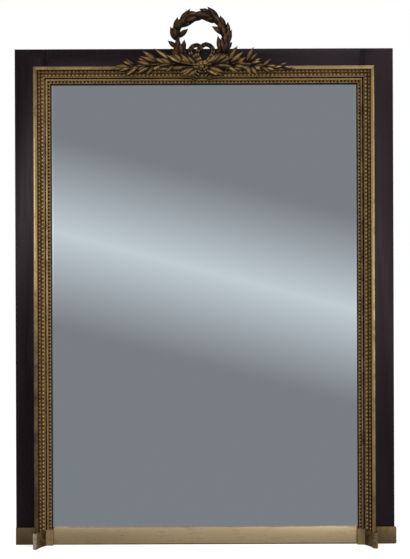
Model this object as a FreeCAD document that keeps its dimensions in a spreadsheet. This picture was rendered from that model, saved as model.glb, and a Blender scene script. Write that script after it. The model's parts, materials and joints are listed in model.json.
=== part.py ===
import FreeCAD, Part
import math
import os

import Sketcher

# Overmantel mirror of carved, gilt and ebonised wood.
# Millimetres, +Z up, front towards -Y. The origin is the middle of the base on the wall plane,
# and a depth is measured forward from that plane.

SIZES = {
    # frame of boards
    "overall_width": 1200,
    "frame_height": 1570,
    "board_thickness": 38,
    "side_border": 68,
    "top_border": 66,
    "rail_setback": 12,
    "tenon_length": 50,
    "tenon_thickness": 12,
    "tenon_shoulder": 12,
    "joint_clearance": 0.2,
    "peg_size": 8,
    "rebate_width": 15,
    "rebate_depth": 14,
    # gilt moulding, from its outer edge in to the glass
    "fillet_width": 11.5,
    "fillet_rise": 48,
    "fillet_edge": 1.5,
    "small_seat": 7,
    "small_rise": 32,
    "pearl_seat": 9,
    "pearl_rise": 20.5,
    "mid_fillet": 2.5,
    "mid_rise": 22,
    "groove_width": 3.3,
    "groove_rise": 12,
    "inner_fillet": 5.2,
    "inner_fillet_rise": 17,
    "inner_seat": 9.5,
    "inner_rise": 8,
    # strips of pearls
    "pearl_radius": 4.3,
    "pearl_height": 4,
    "pearl_pitch": 12.2,
    "strip_thickness": 1.5,
    "small_bead_radius": 3,
    "inner_bead_radius": 4,
    # plinth
    "plinth_height": 54,
    "plinth_thickness": 6,
    "end_overhang": 4.5,
    "end_chamfer": 3,
    "block_height": 50,
    "block_margin": 4,
    "block_fillet": 12,
    "block_foot": 20,
    "foot_rise": 14,
    "cove_radius": 60,
    # mirror plate and its backing
    "glass_lip": 11,
    "glass_thickness": 6,
    "glass_clearance": 2,
    "setting_length": 60,
    "glazing_length": 45,
    "glazing_width": 12,
    "glazing_depth": 14,
    "back_thickness": 10,
    "back_gap": 1,
    # carved crest
    "crest_shift": 6,
    "crest_block_corner": 14,
    "crest_peg_spacing": 60,
    "crest_peg_length": 58,
    "wreath_radius": 70.5,
    "wreath_shift": 5.3,
    "wreath_foot": 20.5,
    "stem_width": 7,
    "spray_reach": 280,
    "spray_spread": 60,
    "leaf_lift": 12,
    "knot_width": 15.5,
    "knot_height": 12,
    "knot_depth": 14,
    "ribbon_width": 9.5,
    "ribbon_thickness": 7,
    "tail_thickness": 4,
    "tail_margin": 3,
    "tail_gap": 1,
    # hangers at the back
    "hanger_inset": 250,
    "hanger_width": 76,
    "hanger_drop": 5,
    "hanger_height": 20,
    "hanger_thickness": 2.5,
    "knuckle_width": 24,
    "knuckle_radius": 4.5,
    "ring_radius": 20,
    "ring_wire_radius": 2.5,
    "pin_clearance": 0.25,
    "ring_gap": 0.5,
    # how far a cutting tool runs past what it cuts
    "overrun": 20,
}

BACK_BOARDS = 8
PEARL_SIDES = 6
LOOP_SIDES = 14
WREATH_STEPS = 9
RING_STEPS = 10
WIRE_SIDES = 8

# Shares of the sizes that they follow, chosen by eye on the carving.
PEARL_TOP_SHARE = 0.55
PEARL_END_SHARE = 0.7
TOP_PEG_SHARES = (0.33, 0.67)
SETTING_SHARES = (-0.5, 0.5)
SIDE_GLAZING_SHARES = (0.06, 0.28, 0.5, 0.72, 0.94)
TOP_GLAZING_SHARES = (-0.6, 0, 0.6)
LEAF_WIDTH_SHARE = 0.27
LEAF_SECTION_SHARES = ((-0.5, 0), (-0.5, 0.1), (0, 0.42), (0.5, 0.1), (0.5, 0))
LEAF_STATION_SHARES = ((0, 0.35), (0.35, 1), (0.7, 0.72))
LEAF_SEAT_SHARE = 0.2
STEM_SECTION_SHARES = ((-0.5, 0), (-0.3, 0.7), (0.3, 0.7), (0.5, 0))

# Crest block: its width, and its height above the wreath's foot, in wreath radii.
BLOCK_WIDTH_SHARE = 1.45
BLOCK_HEIGHT_SHARE = 0.333
# Wreath stems, in turns from the knot round to the top.
LEFT_WREATH_TURN_SHARES = (0.644, 0.278)
RIGHT_WREATH_TURN_SHARES = (0.861, 1.228)
# Wreath leaves: degrees at the stem, degrees at the tip, radius of the tip.
LEFT_WREATH_SHARES = (
    (119, 86, 1.22),
    (144, 113, 1.34),
    (165, 139, 1.35),
    (184, 161, 1.44),
    (201, 186, 1.47),
    (118, 95, 0.93),
    (151, 117, 0.75),
    (181, 146, 0.68),
    (210, 190, 0.77),
)
RIGHT_WREATH_SHARES = (
    (43, 78, 1.33),
    (15, 48, 1.26),
    (1, 27, 1.35),
    (342, 372, 1.36),
    (328, 350, 1.38),
    (60, 84, 0.98),
    (12, 43, 0.70),
    (324, 363, 0.74),
)
# Spray stem: how far out and how high.
SPRAY_STEM_SHARES = ((0.2, 0.18), (0.45, 0.26), (0.75, 0.14), (0.98, -0.08))
SPRAY_TAPER_SHARES = (1, 0.95, 0.9, 0.8, 0.6)
# Spray leaves: how far out they leave the stem, then how far out, high and forward the tip is.
LEFT_SPRAY_SHARES = (
    (0.37, 0.54, 0.95, 0.1),
    (0.52, 0.67, 0.88, 0.1),
    (0.62, 0.71, 0.55, 0.3),
    (0.73, 0.86, 0.47, 0.1),
    (0.81, 0.93, 0.43, 0.2),
    (0.86, 1.00, 0.12, 0.1),
    (0.91, 1.03, -0.14, 0.2),
    (0.79, 0.94, -0.25, 0.3),
    (0.72, 0.86, -0.48, 0.1),
    (0.62, 0.76, -0.26, 0.3),
    (0.49, 0.63, -0.55, 0.1),
    (0.33, 0.48, -0.30, 0.3),
    (0.08, 0.22, -0.55, 0.2),
    (0.11, 0.30, -0.19, 0.5),
    (0.10, 0.32, 0.36, 0.8),
    (0.08, 0.24, 0.57, 1),
    (0.21, 0.42, 0.50, 0.5),
)
RIGHT_SPRAY_SHARES = (
    (0.28, 0.38, 1.03, 0.2),
    (0.33, 0.46, 0.81, 0.1),
    (0.48, 0.57, 1.00, 0.2),
    (0.53, 0.61, 0.75, 0.1),
    (0.56, 0.66, 0.36, 0.3),
    (0.65, 0.77, 0.47, 0.1),
    (0.82, 0.94, 0.21, 0.2),
    (0.89, 1.01, -0.13, 0.2),
    (0.79, 0.90, -0.22, 0.3),
    (0.64, 0.75, -0.40, 0.1),
    (0.61, 0.72, -0.18, 0.4),
    (0.48, 0.55, -0.58, 0.1),
    (0.50, 0.64, -0.19, 0.4),
    (0.26, 0.39, -0.32, 0.2),
    (0.09, 0.23, -0.66, 0.2),
    (0.11, 0.30, -0.14, 0.5),
    (0.10, 0.31, 0.41, 0.7),
    (0.08, 0.23, 0.59, 1),
)
# Bow, in wreath radii: its lift, then the middle of each loop and how wide and high it is.
BOW_LIFT_SHARE = 0.404
LOOP_SHARES = ((-0.3, 0.567, 0.584), (0.267, 0.51, 0.62))
# Strands from bow to knot: middle at the top and at the bottom in ribbon widths.
STRAND_SHARES = ((-0.45, -0.5), (0.25, 0.5))
STRAND_TOP_SHARE = 0.95
# Ribbon tails: middle at the knot in ribbon widths, then down the slope to the glass.
TAIL_KNOT_SHARE = 0.58
LEFT_TAIL_SHARES = ((-0.75, 0), (-1.6, 0.4), (-2.5, 0.8), (-2.9, 1))
RIGHT_TAIL_SHARES = ((0.9, 0), (2.1, 0.33), (2.4, 0.73), (2.5, 1))
# Knot: section of its height and depth, and its swelling along its width.
KNOT_SECTION_SHARES = ((-0.5, 0), (-0.5, 0.5), (-0.25, 1), (0.25, 1), (0.5, 0.5), (0.5, 0))
KNOT_STATION_SHARES = ((-0.5, 0.8), (-0.2, 1), (0.2, 1), (0.5, 0.8))

doc = FreeCAD.newDocument("overmantel_mirror")
sheet = doc.addObject("Spreadsheet::Sheet", "sizes")
for row, (alias, number) in enumerate(SIZES.items(), start=1):
    sheet.set(f"A{row}", alias)
    sheet.set(f"B{row}", str(number))
    sheet.setAlias(f"B{row}", alias)
doc.recompute()


def formula_of(number):
    """Sheet formula of a size, or the text of a plain number."""
    if isinstance(number, Size):
        return number.formula
    return f"({number})"


class Size(float):
    """A length that remembers the sheet formula it was worked out with."""

    def __new__(cls, number, formula):
        size = super().__new__(cls, number)
        size.formula = formula
        return size

    def __add__(self, other):
        return Size(float(self) + float(other), f"({self.formula} + {formula_of(other)})")

    def __radd__(self, other):
        return Size(float(other) + float(self), f"({formula_of(other)} + {self.formula})")

    def __sub__(self, other):
        return Size(float(self) - float(other), f"({self.formula} - {formula_of(other)})")

    def __mul__(self, other):
        return Size(float(self) * float(other), f"({self.formula} * {formula_of(other)})")

    def __rmul__(self, other):
        return self * other

    def __truediv__(self, other):
        return Size(float(self) / float(other), f"({self.formula} / {formula_of(other)})")

    def __neg__(self):
        return Size(-float(self), f"(0 - {self.formula})")


def root(size):
    return Size(math.sqrt(size), f"sqrt({size.formula})")


class Sizes:
    """The sheet's cells as sizes, by alias."""

    def __getattr__(self, alias):
        return Size(getattr(sheet, alias), f"sizes.{alias}")


S = Sizes()

# Places that several pieces share.
half_width = S.overall_width / 2
board_front = S.board_thickness
moulding_width = (
    S.fillet_width
    + S.small_seat
    + S.pearl_seat
    + S.mid_fillet
    + S.groove_width
    + S.inner_fillet
    + S.inner_seat
)
outer_x = half_width - S.side_border
outer_z = S.frame_height - S.top_border
sight_x = outer_x - moulding_width
sight_z = outer_z - moulding_width
stile_x = sight_x + S.glass_lip
rail_z = sight_z + S.glass_lip
sill_z = S.plinth_height - S.glass_lip
glass_back = board_front - S.glass_thickness
crest_front = board_front + S.fillet_rise
knot_x = -S.crest_shift
knot_z = outer_z
hanger_z = (rail_z + S.frame_height) / 2
ring_depth = S.rail_setback - S.hanger_thickness - S.ring_gap - S.ring_wire_radius

OUT = FreeCAD.Vector(0, -1, 0)
TURN_TO_FRONT = FreeCAD.Rotation(FreeCAD.Vector(0, 0, 1), 180)
ALONG_X = FreeCAD.Rotation(FreeCAD.Vector(0, 1, 0), 90)
MITRE_TURN = FreeCAD.Rotation(FreeCAD.Vector(0, 1, 0), 45)
LYING_HALF = FreeCAD.Rotation(
    FreeCAD.Vector(0, 0, 1), FreeCAD.Vector(0, -1, 0), FreeCAD.Vector(1, 0, 0), "XYZ"
)

nodes = []


def node(piece, label):
    """Mark a document object as one of the pieces that are written out."""
    piece.Label = label
    nodes.append(piece)
    return piece


def bind(target, sizes):
    """Tie properties to the sheet."""
    for path, size in sizes.items():
        target.setExpression(path, formula_of(size))


def place(target, x, depth, z, rotation=FreeCAD.Rotation()):
    """Tie an object's place to the sheet, with a fixed rotation."""
    target.Placement = FreeCAD.Placement(FreeCAD.Vector(), rotation)
    bind(target, {"Placement.Base.x": x, "Placement.Base.y": -depth, "Placement.Base.z": z})
    return target


def box(name, x_range, depth_range, z_range):
    """Square-edged block between two places on each axis."""
    block = doc.addObject("Part::Box", name)
    bind(block, {"Length": x_range[1] - x_range[0]})
    bind(block, {"Width": depth_range[1] - depth_range[0]})
    bind(block, {"Height": z_range[1] - z_range[0]})
    return place(block, x_range[0], depth_range[1], z_range[0])


def cylinder(name, radius, height, x, depth, z, rotation=FreeCAD.Rotation()):
    rod = doc.addObject("Part::Cylinder", name)
    bind(rod, {"Radius": radius, "Height": height})
    return place(rod, x, depth, z, rotation)


def cut(name, base, tool):
    result = doc.addObject("Part::Cut", name)
    result.Base = base
    result.Tool = tool
    return result


def overlap(name, first, second):
    result = doc.addObject("Part::Common", name)
    result.Base = first
    result.Tool = second
    return result


def fused(name, pieces):
    result = doc.addObject("Part::MultiFuse", name)
    result.Shapes = pieces
    return result


def group(name, pieces):
    result = doc.addObject("Part::Compound", name)
    result.Links = pieces
    return result


def mirrored(name, source):
    """The same piece on the other side of the middle plane."""
    result = doc.addObject("Part::Mirroring", name)
    result.Source = source
    result.Normal = (1, 0, 0)
    return result


def sketch(body, name, role, loops, offset):
    """Closed outlines on an origin plane of the body, moved along its normal by the offset."""
    plane = next(part for part in body.Origin.OriginFeatures if part.Role == role)
    drawing = body.newObject("Sketcher::SketchObject", name)
    drawing.AttachmentSupport = [(plane, "")]
    drawing.MapMode = "FlatFace"
    bind(drawing, {"AttachmentOffset.Base.z": offset})
    for corners in loops:
        first = drawing.GeometryCount
        points = [FreeCAD.Vector(x, y, 0) for x, y in corners]
        ends = points[1:] + points[:1]
        drawing.addGeometry([Part.LineSegment(*pair) for pair in zip(points, ends)], False)
        for i in range(len(corners)):
            after = first + (i + 1) % len(corners)
            drawing.addConstraint(Sketcher.Constraint("Coincident", first + i, 2, after, 1))
        for i, corner in enumerate(corners):
            for kind, place_on_axis in zip(("DistanceX", "DistanceY"), corner):
                rule = Sketcher.Constraint(kind, -1, 1, first + i, 1, float(place_on_axis))
                index = drawing.addConstraint(rule)
                bind(drawing, {f"Constraints[{index}]": place_on_axis})
    return drawing


def pad(body, name, role, loops, offset, length):
    feature = body.newObject("PartDesign::Pad", name)
    feature.Profile = sketch(body, f"{name}_outline", role, loops, offset)
    bind(feature, {"Length": length})
    return feature


def pocket(body, name, role, loops, offset, length):
    """Cut backwards along the plane's normal from the offset."""
    feature = body.newObject("PartDesign::Pocket", name)
    feature.Profile = sketch(body, f"{name}_outline", role, loops, offset)
    bind(feature, {"Length": length})
    return feature


def rectangle(x_range, y_range):
    return [
        (x_range[0], y_range[0]),
        (x_range[1], y_range[0]),
        (x_range[1], y_range[1]),
        (x_range[0], y_range[1]),
    ]


def flat_face(points):
    """Flat face round some corners, of which neighbours may coincide."""
    ring = [point for i, point in enumerate(points) if point != points[i - 1]]
    return Part.Face(Part.makePolygon(ring + ring[:1]))


def faceted(sections):
    """Solid of flat facets through matching sections; a one-point section is a tip, and
    sections that end where they began make a ring."""
    faces = []
    for near, far in zip(sections, sections[1:]):
        count = max(len(near), len(far))
        for i in range(count):
            j = (i + 1) % count
            corners = [near[i % len(near)], near[j % len(near)], far[j % len(far)], far[i % len(far)]]
            faces.append(flat_face(corners))
    if sections[0] is not sections[-1]:
        faces.extend(flat_face(end) for end in (sections[0], sections[-1]) if len(end) > 1)
    solid = Part.Solid(Part.Shell(faces))
    if solid.Volume < 0:
        solid.reverse()
    return solid


def carved(name, shape, x, depth, z):
    """A carved or bent solid, made round its own reference point and then placed."""
    piece = doc.addObject("Part::Feature", name)
    piece.Shape = shape
    return node(place(piece, x, depth, z), name)


# Boards: two stiles, a top rail set forward at the back, and a bottom rail, pegged together

top_tenon_depth = (S.rail_setback + board_front - S.tenon_thickness) / 2
bottom_tenon_depth = (board_front - S.tenon_thickness) / 2
top_tenon_z = (rail_z + S.tenon_shoulder, S.frame_height - S.tenon_shoulder)
bottom_tenon_z = (S.tenon_shoulder, sill_z - S.tenon_shoulder)
peg_x = stile_x + S.tenon_length / 2
peg_heights = [rail_z + (S.frame_height - rail_z) * share for share in TOP_PEG_SHARES]
peg_heights.append(sill_z / 2)


def peg_square(x, z):
    half = S.peg_size / 2
    return rectangle((x - half, x + half), (z - half, z + half))


def mortise(depth, z_range):
    """Outline of a mortise on a plane across the frame, a clearance larger than the tenon."""
    gap = S.joint_clearance
    back = -(depth + S.tenon_thickness + gap)
    return rectangle((back, gap - depth), (z_range[0] - gap, z_range[1] + gap))


def make_stiles():
    body = doc.addObject("PartDesign::Body", "stile_left_body")
    board = rectangle((-half_width, -stile_x), (0, S.frame_height))
    pad(body, "stile_board", "XZ_Plane", [board], 0, board_front)
    rebate = rectangle((-stile_x - S.rebate_width, -stile_x + S.overrun), (sill_z, rail_z))
    depth = S.rebate_depth
    pocket(body, "back_rebate", "XZ_Plane", [rebate], depth, depth + S.overrun)
    mortises = [mortise(top_tenon_depth, top_tenon_z), mortise(bottom_tenon_depth, bottom_tenon_z)]
    length = S.tenon_length + S.joint_clearance
    pocket(body, "mortises", "YZ_Plane", mortises, -stile_x, length)
    holes = [peg_square(-peg_x, z) for z in peg_heights]
    pocket(body, "peg_holes", "XZ_Plane", holes, board_front, board_front + S.overrun)
    node(body, "stile_left")
    node(mirrored("stile_right", body), "stile_right")


def rail_body(name, depth, z_range, tenon_depth, tenon_z, pegs):
    body = doc.addObject("PartDesign::Body", name)
    board = rectangle((-stile_x, stile_x), z_range)
    pad(body, f"{name}_board", "XZ_Plane", [board], depth, board_front - depth)
    reach = stile_x + S.tenon_length
    tenon = rectangle((-reach, reach), tenon_z)
    pad(body, f"{name}_tenons", "XZ_Plane", [tenon], tenon_depth, S.tenon_thickness)
    holes = [peg_square(x, z) for x in (-peg_x, peg_x) for z in pegs]
    through = board_front + S.overrun
    pocket(body, f"{name}_peg_holes", "XZ_Plane", holes, board_front, through)
    return body


def make_pegs():
    half = S.peg_size / 2
    pegs = []
    for side in (-1, 1):
        for z in peg_heights:
            x = peg_x * side
            span = (x - half, x + half)
            pegs.append(box(f"peg_{len(pegs)}", span, (0, board_front), (z - half, z + half)))
    node(group("tenon_pegs", pegs), "tenon_pegs")


# Moulding: stepped section, mitred at the top corners, standing on the plinth blocks


def moulding_section():
    """Corners of the section: how far in from the outer edge, and the rise above the boards."""
    steps = (
        (S.small_seat, S.small_rise),
        (S.pearl_seat, S.pearl_rise),
        (S.mid_fillet, S.mid_rise),
        (S.groove_width, S.groove_rise),
        (S.inner_fillet, S.inner_fillet_rise),
        (S.inner_seat, S.inner_rise),
    )
    corners = [(0, 0), (0, S.fillet_rise - S.fillet_edge)]
    corners += [(S.fillet_edge, S.fillet_rise), (S.fillet_width, S.fillet_rise)]
    run = S.fillet_width
    for width, rise in steps:
        corners.append((run, rise))
        run = run + width
        corners.append((run, rise))
    corners.append((run, 0))
    return corners


def make_mouldings():
    through = S.fillet_rise + S.overrun + S.overrun
    side = doc.addObject("PartDesign::Body", "moulding_left_body")
    section = [(-outer_x + run, -(board_front + rise)) for run, rise in moulding_section()]
    pad(side, "side_section", "XY_Plane", [section], S.block_height, outer_z - S.block_height)
    waste = [(-outer_x, outer_z), (-sight_x, sight_z), (-sight_x, outer_z)]
    pocket(side, "side_mitre", "XZ_Plane", [waste], crest_front + S.overrun, through)
    node(side, "moulding_left")
    node(mirrored("moulding_right", side), "moulding_right")

    top = doc.addObject("PartDesign::Body", "moulding_top_body")
    section = [(-(board_front + rise), outer_z - run) for run, rise in moulding_section()]
    pad(top, "top_section", "YZ_Plane", [section], -outer_x, outer_x * 2)
    left = [(-outer_x, outer_z), (-outer_x, sight_z), (-sight_x, sight_z)]
    right = [(-x, z) for x, z in left]
    pocket(top, "top_mitres", "XZ_Plane", [left, right], crest_front + S.overrun, through)
    node(top, "moulding_top")


# Strips of pearls: the large row is modelled pearl by pearl, the two fine rows as half-round strips


def pearl(z):
    """One pearl standing on its strip, with its middle at a height along the strip."""
    rings = []
    for radius, rise in ((S.pearl_radius, 0), (S.pearl_radius * PEARL_TOP_SHARE, S.pearl_height)):
        turns = [2 * math.pi * k / PEARL_SIDES for k in range(PEARL_SIDES)]
        y = -(S.strip_thickness + rise)
        rings.append(
            [FreeCAD.Vector(radius * math.cos(a), y, z + radius * math.sin(a)) for a in turns]
        )
    return faceted(rings)


def pearl_strip(length, low_rake, high_rake):
    """Strip along Z from 0 to the length on its middle line; a rake slants an end for a mitre."""
    half = S.pearl_seat / 2
    outline = [
        FreeCAD.Vector(-half, 0, half * low_rake),
        FreeCAD.Vector(half, 0, -half * low_rake),
        FreeCAD.Vector(half, 0, length - half * high_rake),
        FreeCAD.Vector(-half, 0, length + half * high_rake),
    ]
    band = flat_face(outline).extrude(OUT * S.strip_thickness)
    margin = S.pearl_pitch * PEARL_END_SHARE
    count = round((length - 2 * margin) / S.pearl_pitch) + 1
    pitch = (length - 2 * margin) / (count - 1)
    return band.fuse([pearl(margin + pitch * k) for k in range(count)])


def half_round(name, radius, length, x, depth, z, rotation):
    strip = cylinder(name, radius, length, x, depth, z, rotation)
    strip.Angle = 180
    return strip


def make_pearl_strips():
    run = S.fillet_width + S.small_seat + S.pearl_seat / 2
    depth = board_front + S.pearl_rise
    length = outer_z - run - S.block_height
    side = carved("pearl_strip_left", pearl_strip(length, 0, 1), -outer_x + run, depth, S.block_height)
    node(mirrored("pearl_strip_right", side), "pearl_strip_right")
    width = (outer_x - run) * 2
    top = carved("pearl_strip_top", pearl_strip(width, -1, 1), -outer_x + run, depth, outer_z - run)
    top.Placement.Rotation = ALONG_X


def make_fine_strips():
    """Half-round strips of the small outer and the inner row, mitred by blocks at the corner."""
    size = S.overrun + S.overrun + moulding_width * 2
    waste_above = doc.addObject("Part::Box", "mitre_waste_above")
    waste_below = doc.addObject("Part::Box", "mitre_waste_below")
    for waste in (waste_above, waste_below):
        bind(waste, {"Length": size, "Width": size, "Height": size})
    place(waste_above, -outer_x, crest_front, outer_z, MITRE_TURN)
    down = size * math.sqrt(1 / 2)
    place(waste_below, -outer_x - down, crest_front, outer_z - down, MITRE_TURN)
    both_ends = group("mitre_wastes", [waste_below, mirrored("mitre_waste_right", waste_below)])
    rows = (
        ("small_strip", S.small_bead_radius, S.small_rise, S.fillet_width + S.small_seat / 2),
        ("inner_strip", S.inner_bead_radius, S.inner_rise, moulding_width - S.inner_seat / 2),
    )
    for name, radius, rise, run in rows:
        x = -outer_x + run
        depth = board_front + rise
        height = outer_z - S.block_height
        blank = half_round(
            f"{name}_side_blank", radius, height, x, depth, S.block_height, TURN_TO_FRONT
        )
        side = node(cut(f"{name}_left", blank, waste_above), f"{name}_left")
        node(mirrored(f"{name}_right", side), f"{name}_right")
        z = outer_z - run
        blank = half_round(f"{name}_top_blank", radius, outer_x * 2, -outer_x, depth, z, LYING_HALF)
        node(cut(f"{name}_top", blank, both_ends), f"{name}_top")


# Plinth: a strip under the glass, an end under each stile and a hollowed block under each moulding

block_outer_x = outer_x + S.block_margin
block_inner_x = sight_x - S.block_margin


def make_plinth():
    depths = (board_front, board_front + S.plinth_thickness)
    heights = (0, S.plinth_height)
    node(box("plinth_strip", (-block_inner_x, block_inner_x), depths, heights), "plinth_strip")
    node(box("plinth_end_left", (-half_width, -block_outer_x), depths, heights), "plinth_end_left")

    right_end = doc.addObject("PartDesign::Body", "plinth_end_right_body")
    right = half_width + S.end_overhang
    chamfer = S.end_chamfer
    outline = [(block_outer_x, 0), (right - chamfer, 0), (right, chamfer)]
    outline += [(right, S.plinth_height - chamfer), (right - chamfer, S.plinth_height)]
    outline += [(block_outer_x, S.plinth_height)]
    pad(right_end, "right_end_board", "XZ_Plane", [outline], board_front, S.plinth_thickness)
    node(right_end, "plinth_end_right")


def make_plinth_blocks():
    """Block with a fillet at its front, a hollow running back from it and a low foot next to the glass."""
    front = crest_front + S.block_margin
    foot_front = board_front + S.foot_rise
    foot_x = block_inner_x + S.block_foot
    fillet_x = block_outer_x - S.block_fillet
    heights = (0, S.block_height)
    stock = box("block_stock", (-block_outer_x, -block_inner_x), (board_front, front), heights)

    waste_heights = (-S.overrun, S.block_height + S.overrun)
    over_foot = (-foot_x, S.overrun - block_inner_x)
    foot_waste = box("foot_waste", over_foot, (foot_front, front + S.overrun), waste_heights)
    run = fillet_x - foot_x
    fall = front - foot_front
    chord = root(run * run + fall * fall)
    reach = root(S.cove_radius * S.cove_radius - chord * chord / 4)
    cove_x = reach * fall / chord - (fillet_x + foot_x) / 2
    cove_depth = (front + foot_front) / 2 + reach * run / chord
    height = S.block_height + S.overrun * 2
    cove = cylinder("cove", S.cove_radius, height, cove_x, cove_depth, -S.overrun)
    beside_foot = (-block_outer_x, -foot_x)
    cove_bounds = box("cove_bounds", beside_foot, (foot_front, front + S.overrun), waste_heights)
    hollow = overlap("hollow", cove, cove_bounds)

    block = cut("plinth_block_left", stock, fused("block_waste", [foot_waste, hollow]))
    node(block, "plinth_block_left")
    node(mirrored("plinth_block_right", block), "plinth_block_right")


# Mirror plate on setting blocks, held by glazing blocks, with loose boards behind

glass_x = stile_x - S.glass_clearance
glass_low = sill_z + S.glass_clearance
glass_high = rail_z - S.glass_clearance


def make_glass():
    depths = (glass_back, board_front)
    node(box("mirror_glass", (-glass_x, glass_x), depths, (glass_low, glass_high)), "mirror_glass")
    half = S.setting_length / 2
    blocks = []
    for share in SETTING_SHARES:
        x = glass_x * share
        blocks.append(
            box(f"setting_{len(blocks)}", (x - half, x + half), depths, (sill_z, glass_low))
        )
    node(group("setting_blocks", blocks), "setting_blocks")


def make_glazing_blocks():
    depths = (glass_back - S.glazing_depth, glass_back)
    half = S.glazing_length / 2
    blocks = []
    for share in SIDE_GLAZING_SHARES:
        z = glass_low + (glass_high - glass_low) * share
        for edge in ((-stile_x, S.glazing_width - stile_x), (stile_x - S.glazing_width, stile_x)):
            blocks.append(box(f"glazing_{len(blocks)}", edge, depths, (z - half, z + half)))
    for share in TOP_GLAZING_SHARES:
        x = glass_x * share
        span = (rail_z - S.glazing_width, rail_z)
        blocks.append(box(f"glazing_{len(blocks)}", (x - half, x + half), depths, span))
    node(group("glazing_blocks", blocks), "glazing_blocks")


def make_back_boards():
    reach = stile_x + S.rebate_width - S.back_gap
    depths = (S.rebate_depth - S.back_thickness, S.rebate_depth)
    row = (rail_z - sill_z) / BACK_BOARDS
    half_gap = S.back_gap / 2
    for k in range(BACK_BOARDS):
        z = sill_z + row * k
        name = f"back_board_{k + 1}"
        node(box(name, (-reach, reach), depths, (z + half_gap, z + row - half_gap)), name)


# Crest: laurel wreath, sprays and a ribbon bow, carved apart and laid on a block and the moulding


def leaf(base, tip):
    """Laurel leaf from base to tip, with a flat back and a raised midrib."""
    run = tip - base
    across = OUT.cross(run).normalize()
    width = run.Length * LEAF_WIDTH_SHARE
    sections = []
    for along, swell in LEAF_STATION_SHARES:
        middle = base + run * along
        sections.append(
            [middle + (across * a + OUT * b) * (width * swell) for a, b in LEAF_SECTION_SHARES]
        )
    sections.append([tip])
    return faceted(sections)


def wreath_point(degrees, radius, rise):
    angle = math.radians(degrees)
    return FreeCAD.Vector(radius * math.cos(angle), -rise, radius * math.sin(angle))


def wreath_branch(turn, leaf_shares):
    """Half of the wreath round its middle: a bent stem between two angles, and its leaves."""
    first, last = turn
    stem = []
    for k in range(WREATH_STEPS + 1):
        degrees = 360 * (first + (last - first) * k / WREATH_STEPS)
        stem.append(
            [
                wreath_point(degrees, S.wreath_radius + S.stem_width * a, S.stem_width * b)
                for a, b in STEM_SECTION_SHARES
            ]
        )
    seat = S.stem_width * LEAF_SEAT_SHARE
    leaves = []
    for base_angle, tip_angle, reach in leaf_shares:
        base = wreath_point(base_angle, S.wreath_radius, seat)
        leaves.append(leaf(base, wreath_point(tip_angle, S.wreath_radius * reach, S.stem_width)))
    return faceted(stem).fuse(leaves)


def spray_point(side, out, up, rise):
    return FreeCAD.Vector(side * S.spray_reach * out, -rise, S.spray_spread * up)


def stem_height(out, stem):
    """Height share of the stem at a share of the reach."""
    for (out_low, up_low), (out_high, up_high) in zip(stem, stem[1:]):
        if out <= out_high:
            return up_low + (up_high - up_low) * (out - out_low) / (out_high - out_low)
    return stem[-1][1]


def spray(side, leaf_shares):
    """Spray of laurel from the knot outwards, to the left for -1 and to the right for 1."""
    stem = ((S.knot_width / 2 / S.spray_reach, 0),) + SPRAY_STEM_SHARES
    sections = []
    for (out, up), taper in zip(stem, SPRAY_TAPER_SHARES):
        middle = spray_point(side, out, up, 0)
        width = S.stem_width * taper
        sections.append(
            [middle + FreeCAD.Vector(0, -b * width, a * width) for a, b in STEM_SECTION_SHARES]
        )
    seat = S.stem_width * LEAF_SEAT_SHARE
    leaves = []
    for start, out, up, forward in leaf_shares:
        base = spray_point(side, start, stem_height(start, stem), seat)
        leaves.append(leaf(base, spray_point(side, out, up, seat + S.leaf_lift * forward)))
    return faceted(sections).fuse(leaves)


bow_lift = S.wreath_foot + S.wreath_radius * BOW_LIFT_SHARE


def ribbon_loop(x, width, height):
    """Flat loop of ribbon round a middle on the bow's level."""
    sections = []
    for k in range(LOOP_SIDES):
        angle = 2 * math.pi * k / LOOP_SIDES
        section = []
        for inset, rise in ((0, 0), (1, 0), (1, 1), (0, 1)):
            across = (width / 2 - S.ribbon_width * inset) * math.cos(angle)
            up = (height / 2 - S.ribbon_width * inset) * math.sin(angle)
            section.append(FreeCAD.Vector(x + across, -S.ribbon_thickness * rise, bow_lift + up))
        sections.append(section)
    return faceted(sections + sections[:1])


def ribbon_run(places, width, thickness):
    """Straight runs of ribbon through its middles, cut level at every bend."""
    half = width / 2
    corners = ((-half, 0), (half, 0), (half, -thickness), (-half, -thickness))
    return faceted([[place + FreeCAD.Vector(x, y, 0) for x, y in corners] for place in places])


def ribbon_bow():
    loops = [
        ribbon_loop(S.wreath_radius * x, S.wreath_radius * wide, S.wreath_radius * high)
        for x, wide, high in LOOP_SHARES
    ]
    strands = []
    for top, bottom in STRAND_SHARES:
        ends = (
            FreeCAD.Vector(S.ribbon_width * bottom, 0, S.knot_height / 2),
            FreeCAD.Vector(S.ribbon_width * top, 0, bow_lift * STRAND_TOP_SHARE),
        )
        strands.append(ribbon_run(ends, S.ribbon_width, S.ribbon_thickness))
    return loops[0].fuse(loops[1:] + strands)


def ribbon_tail(side, slope_shares):
    """Ribbon from the knot over the outer fillet and down the slope of the moulding to the glass."""
    fall = S.fillet_rise - S.inner_rise - S.inner_bead_radius - S.tail_gap
    length = moulding_width - S.tail_margin - S.fillet_width
    knot_side = S.ribbon_width * TAIL_KNOT_SHARE * side
    places = [FreeCAD.Vector(knot_side, 0, -S.knot_height / 2)]
    for across, down in slope_shares:
        z = -S.fillet_width - length * down
        places.append(FreeCAD.Vector(S.ribbon_width * across, fall * down, z))
    return ribbon_run(places, S.ribbon_width, S.tail_thickness)


def ribbon_knot():
    sections = []
    for along, swell in KNOT_STATION_SHARES:
        x = S.knot_width * along
        sections.append(
            [
                FreeCAD.Vector(x, -S.knot_depth * swell * rise, S.knot_height * swell * up)
                for up, rise in KNOT_SECTION_SHARES
            ]
        )
    return faceted(sections)


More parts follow.
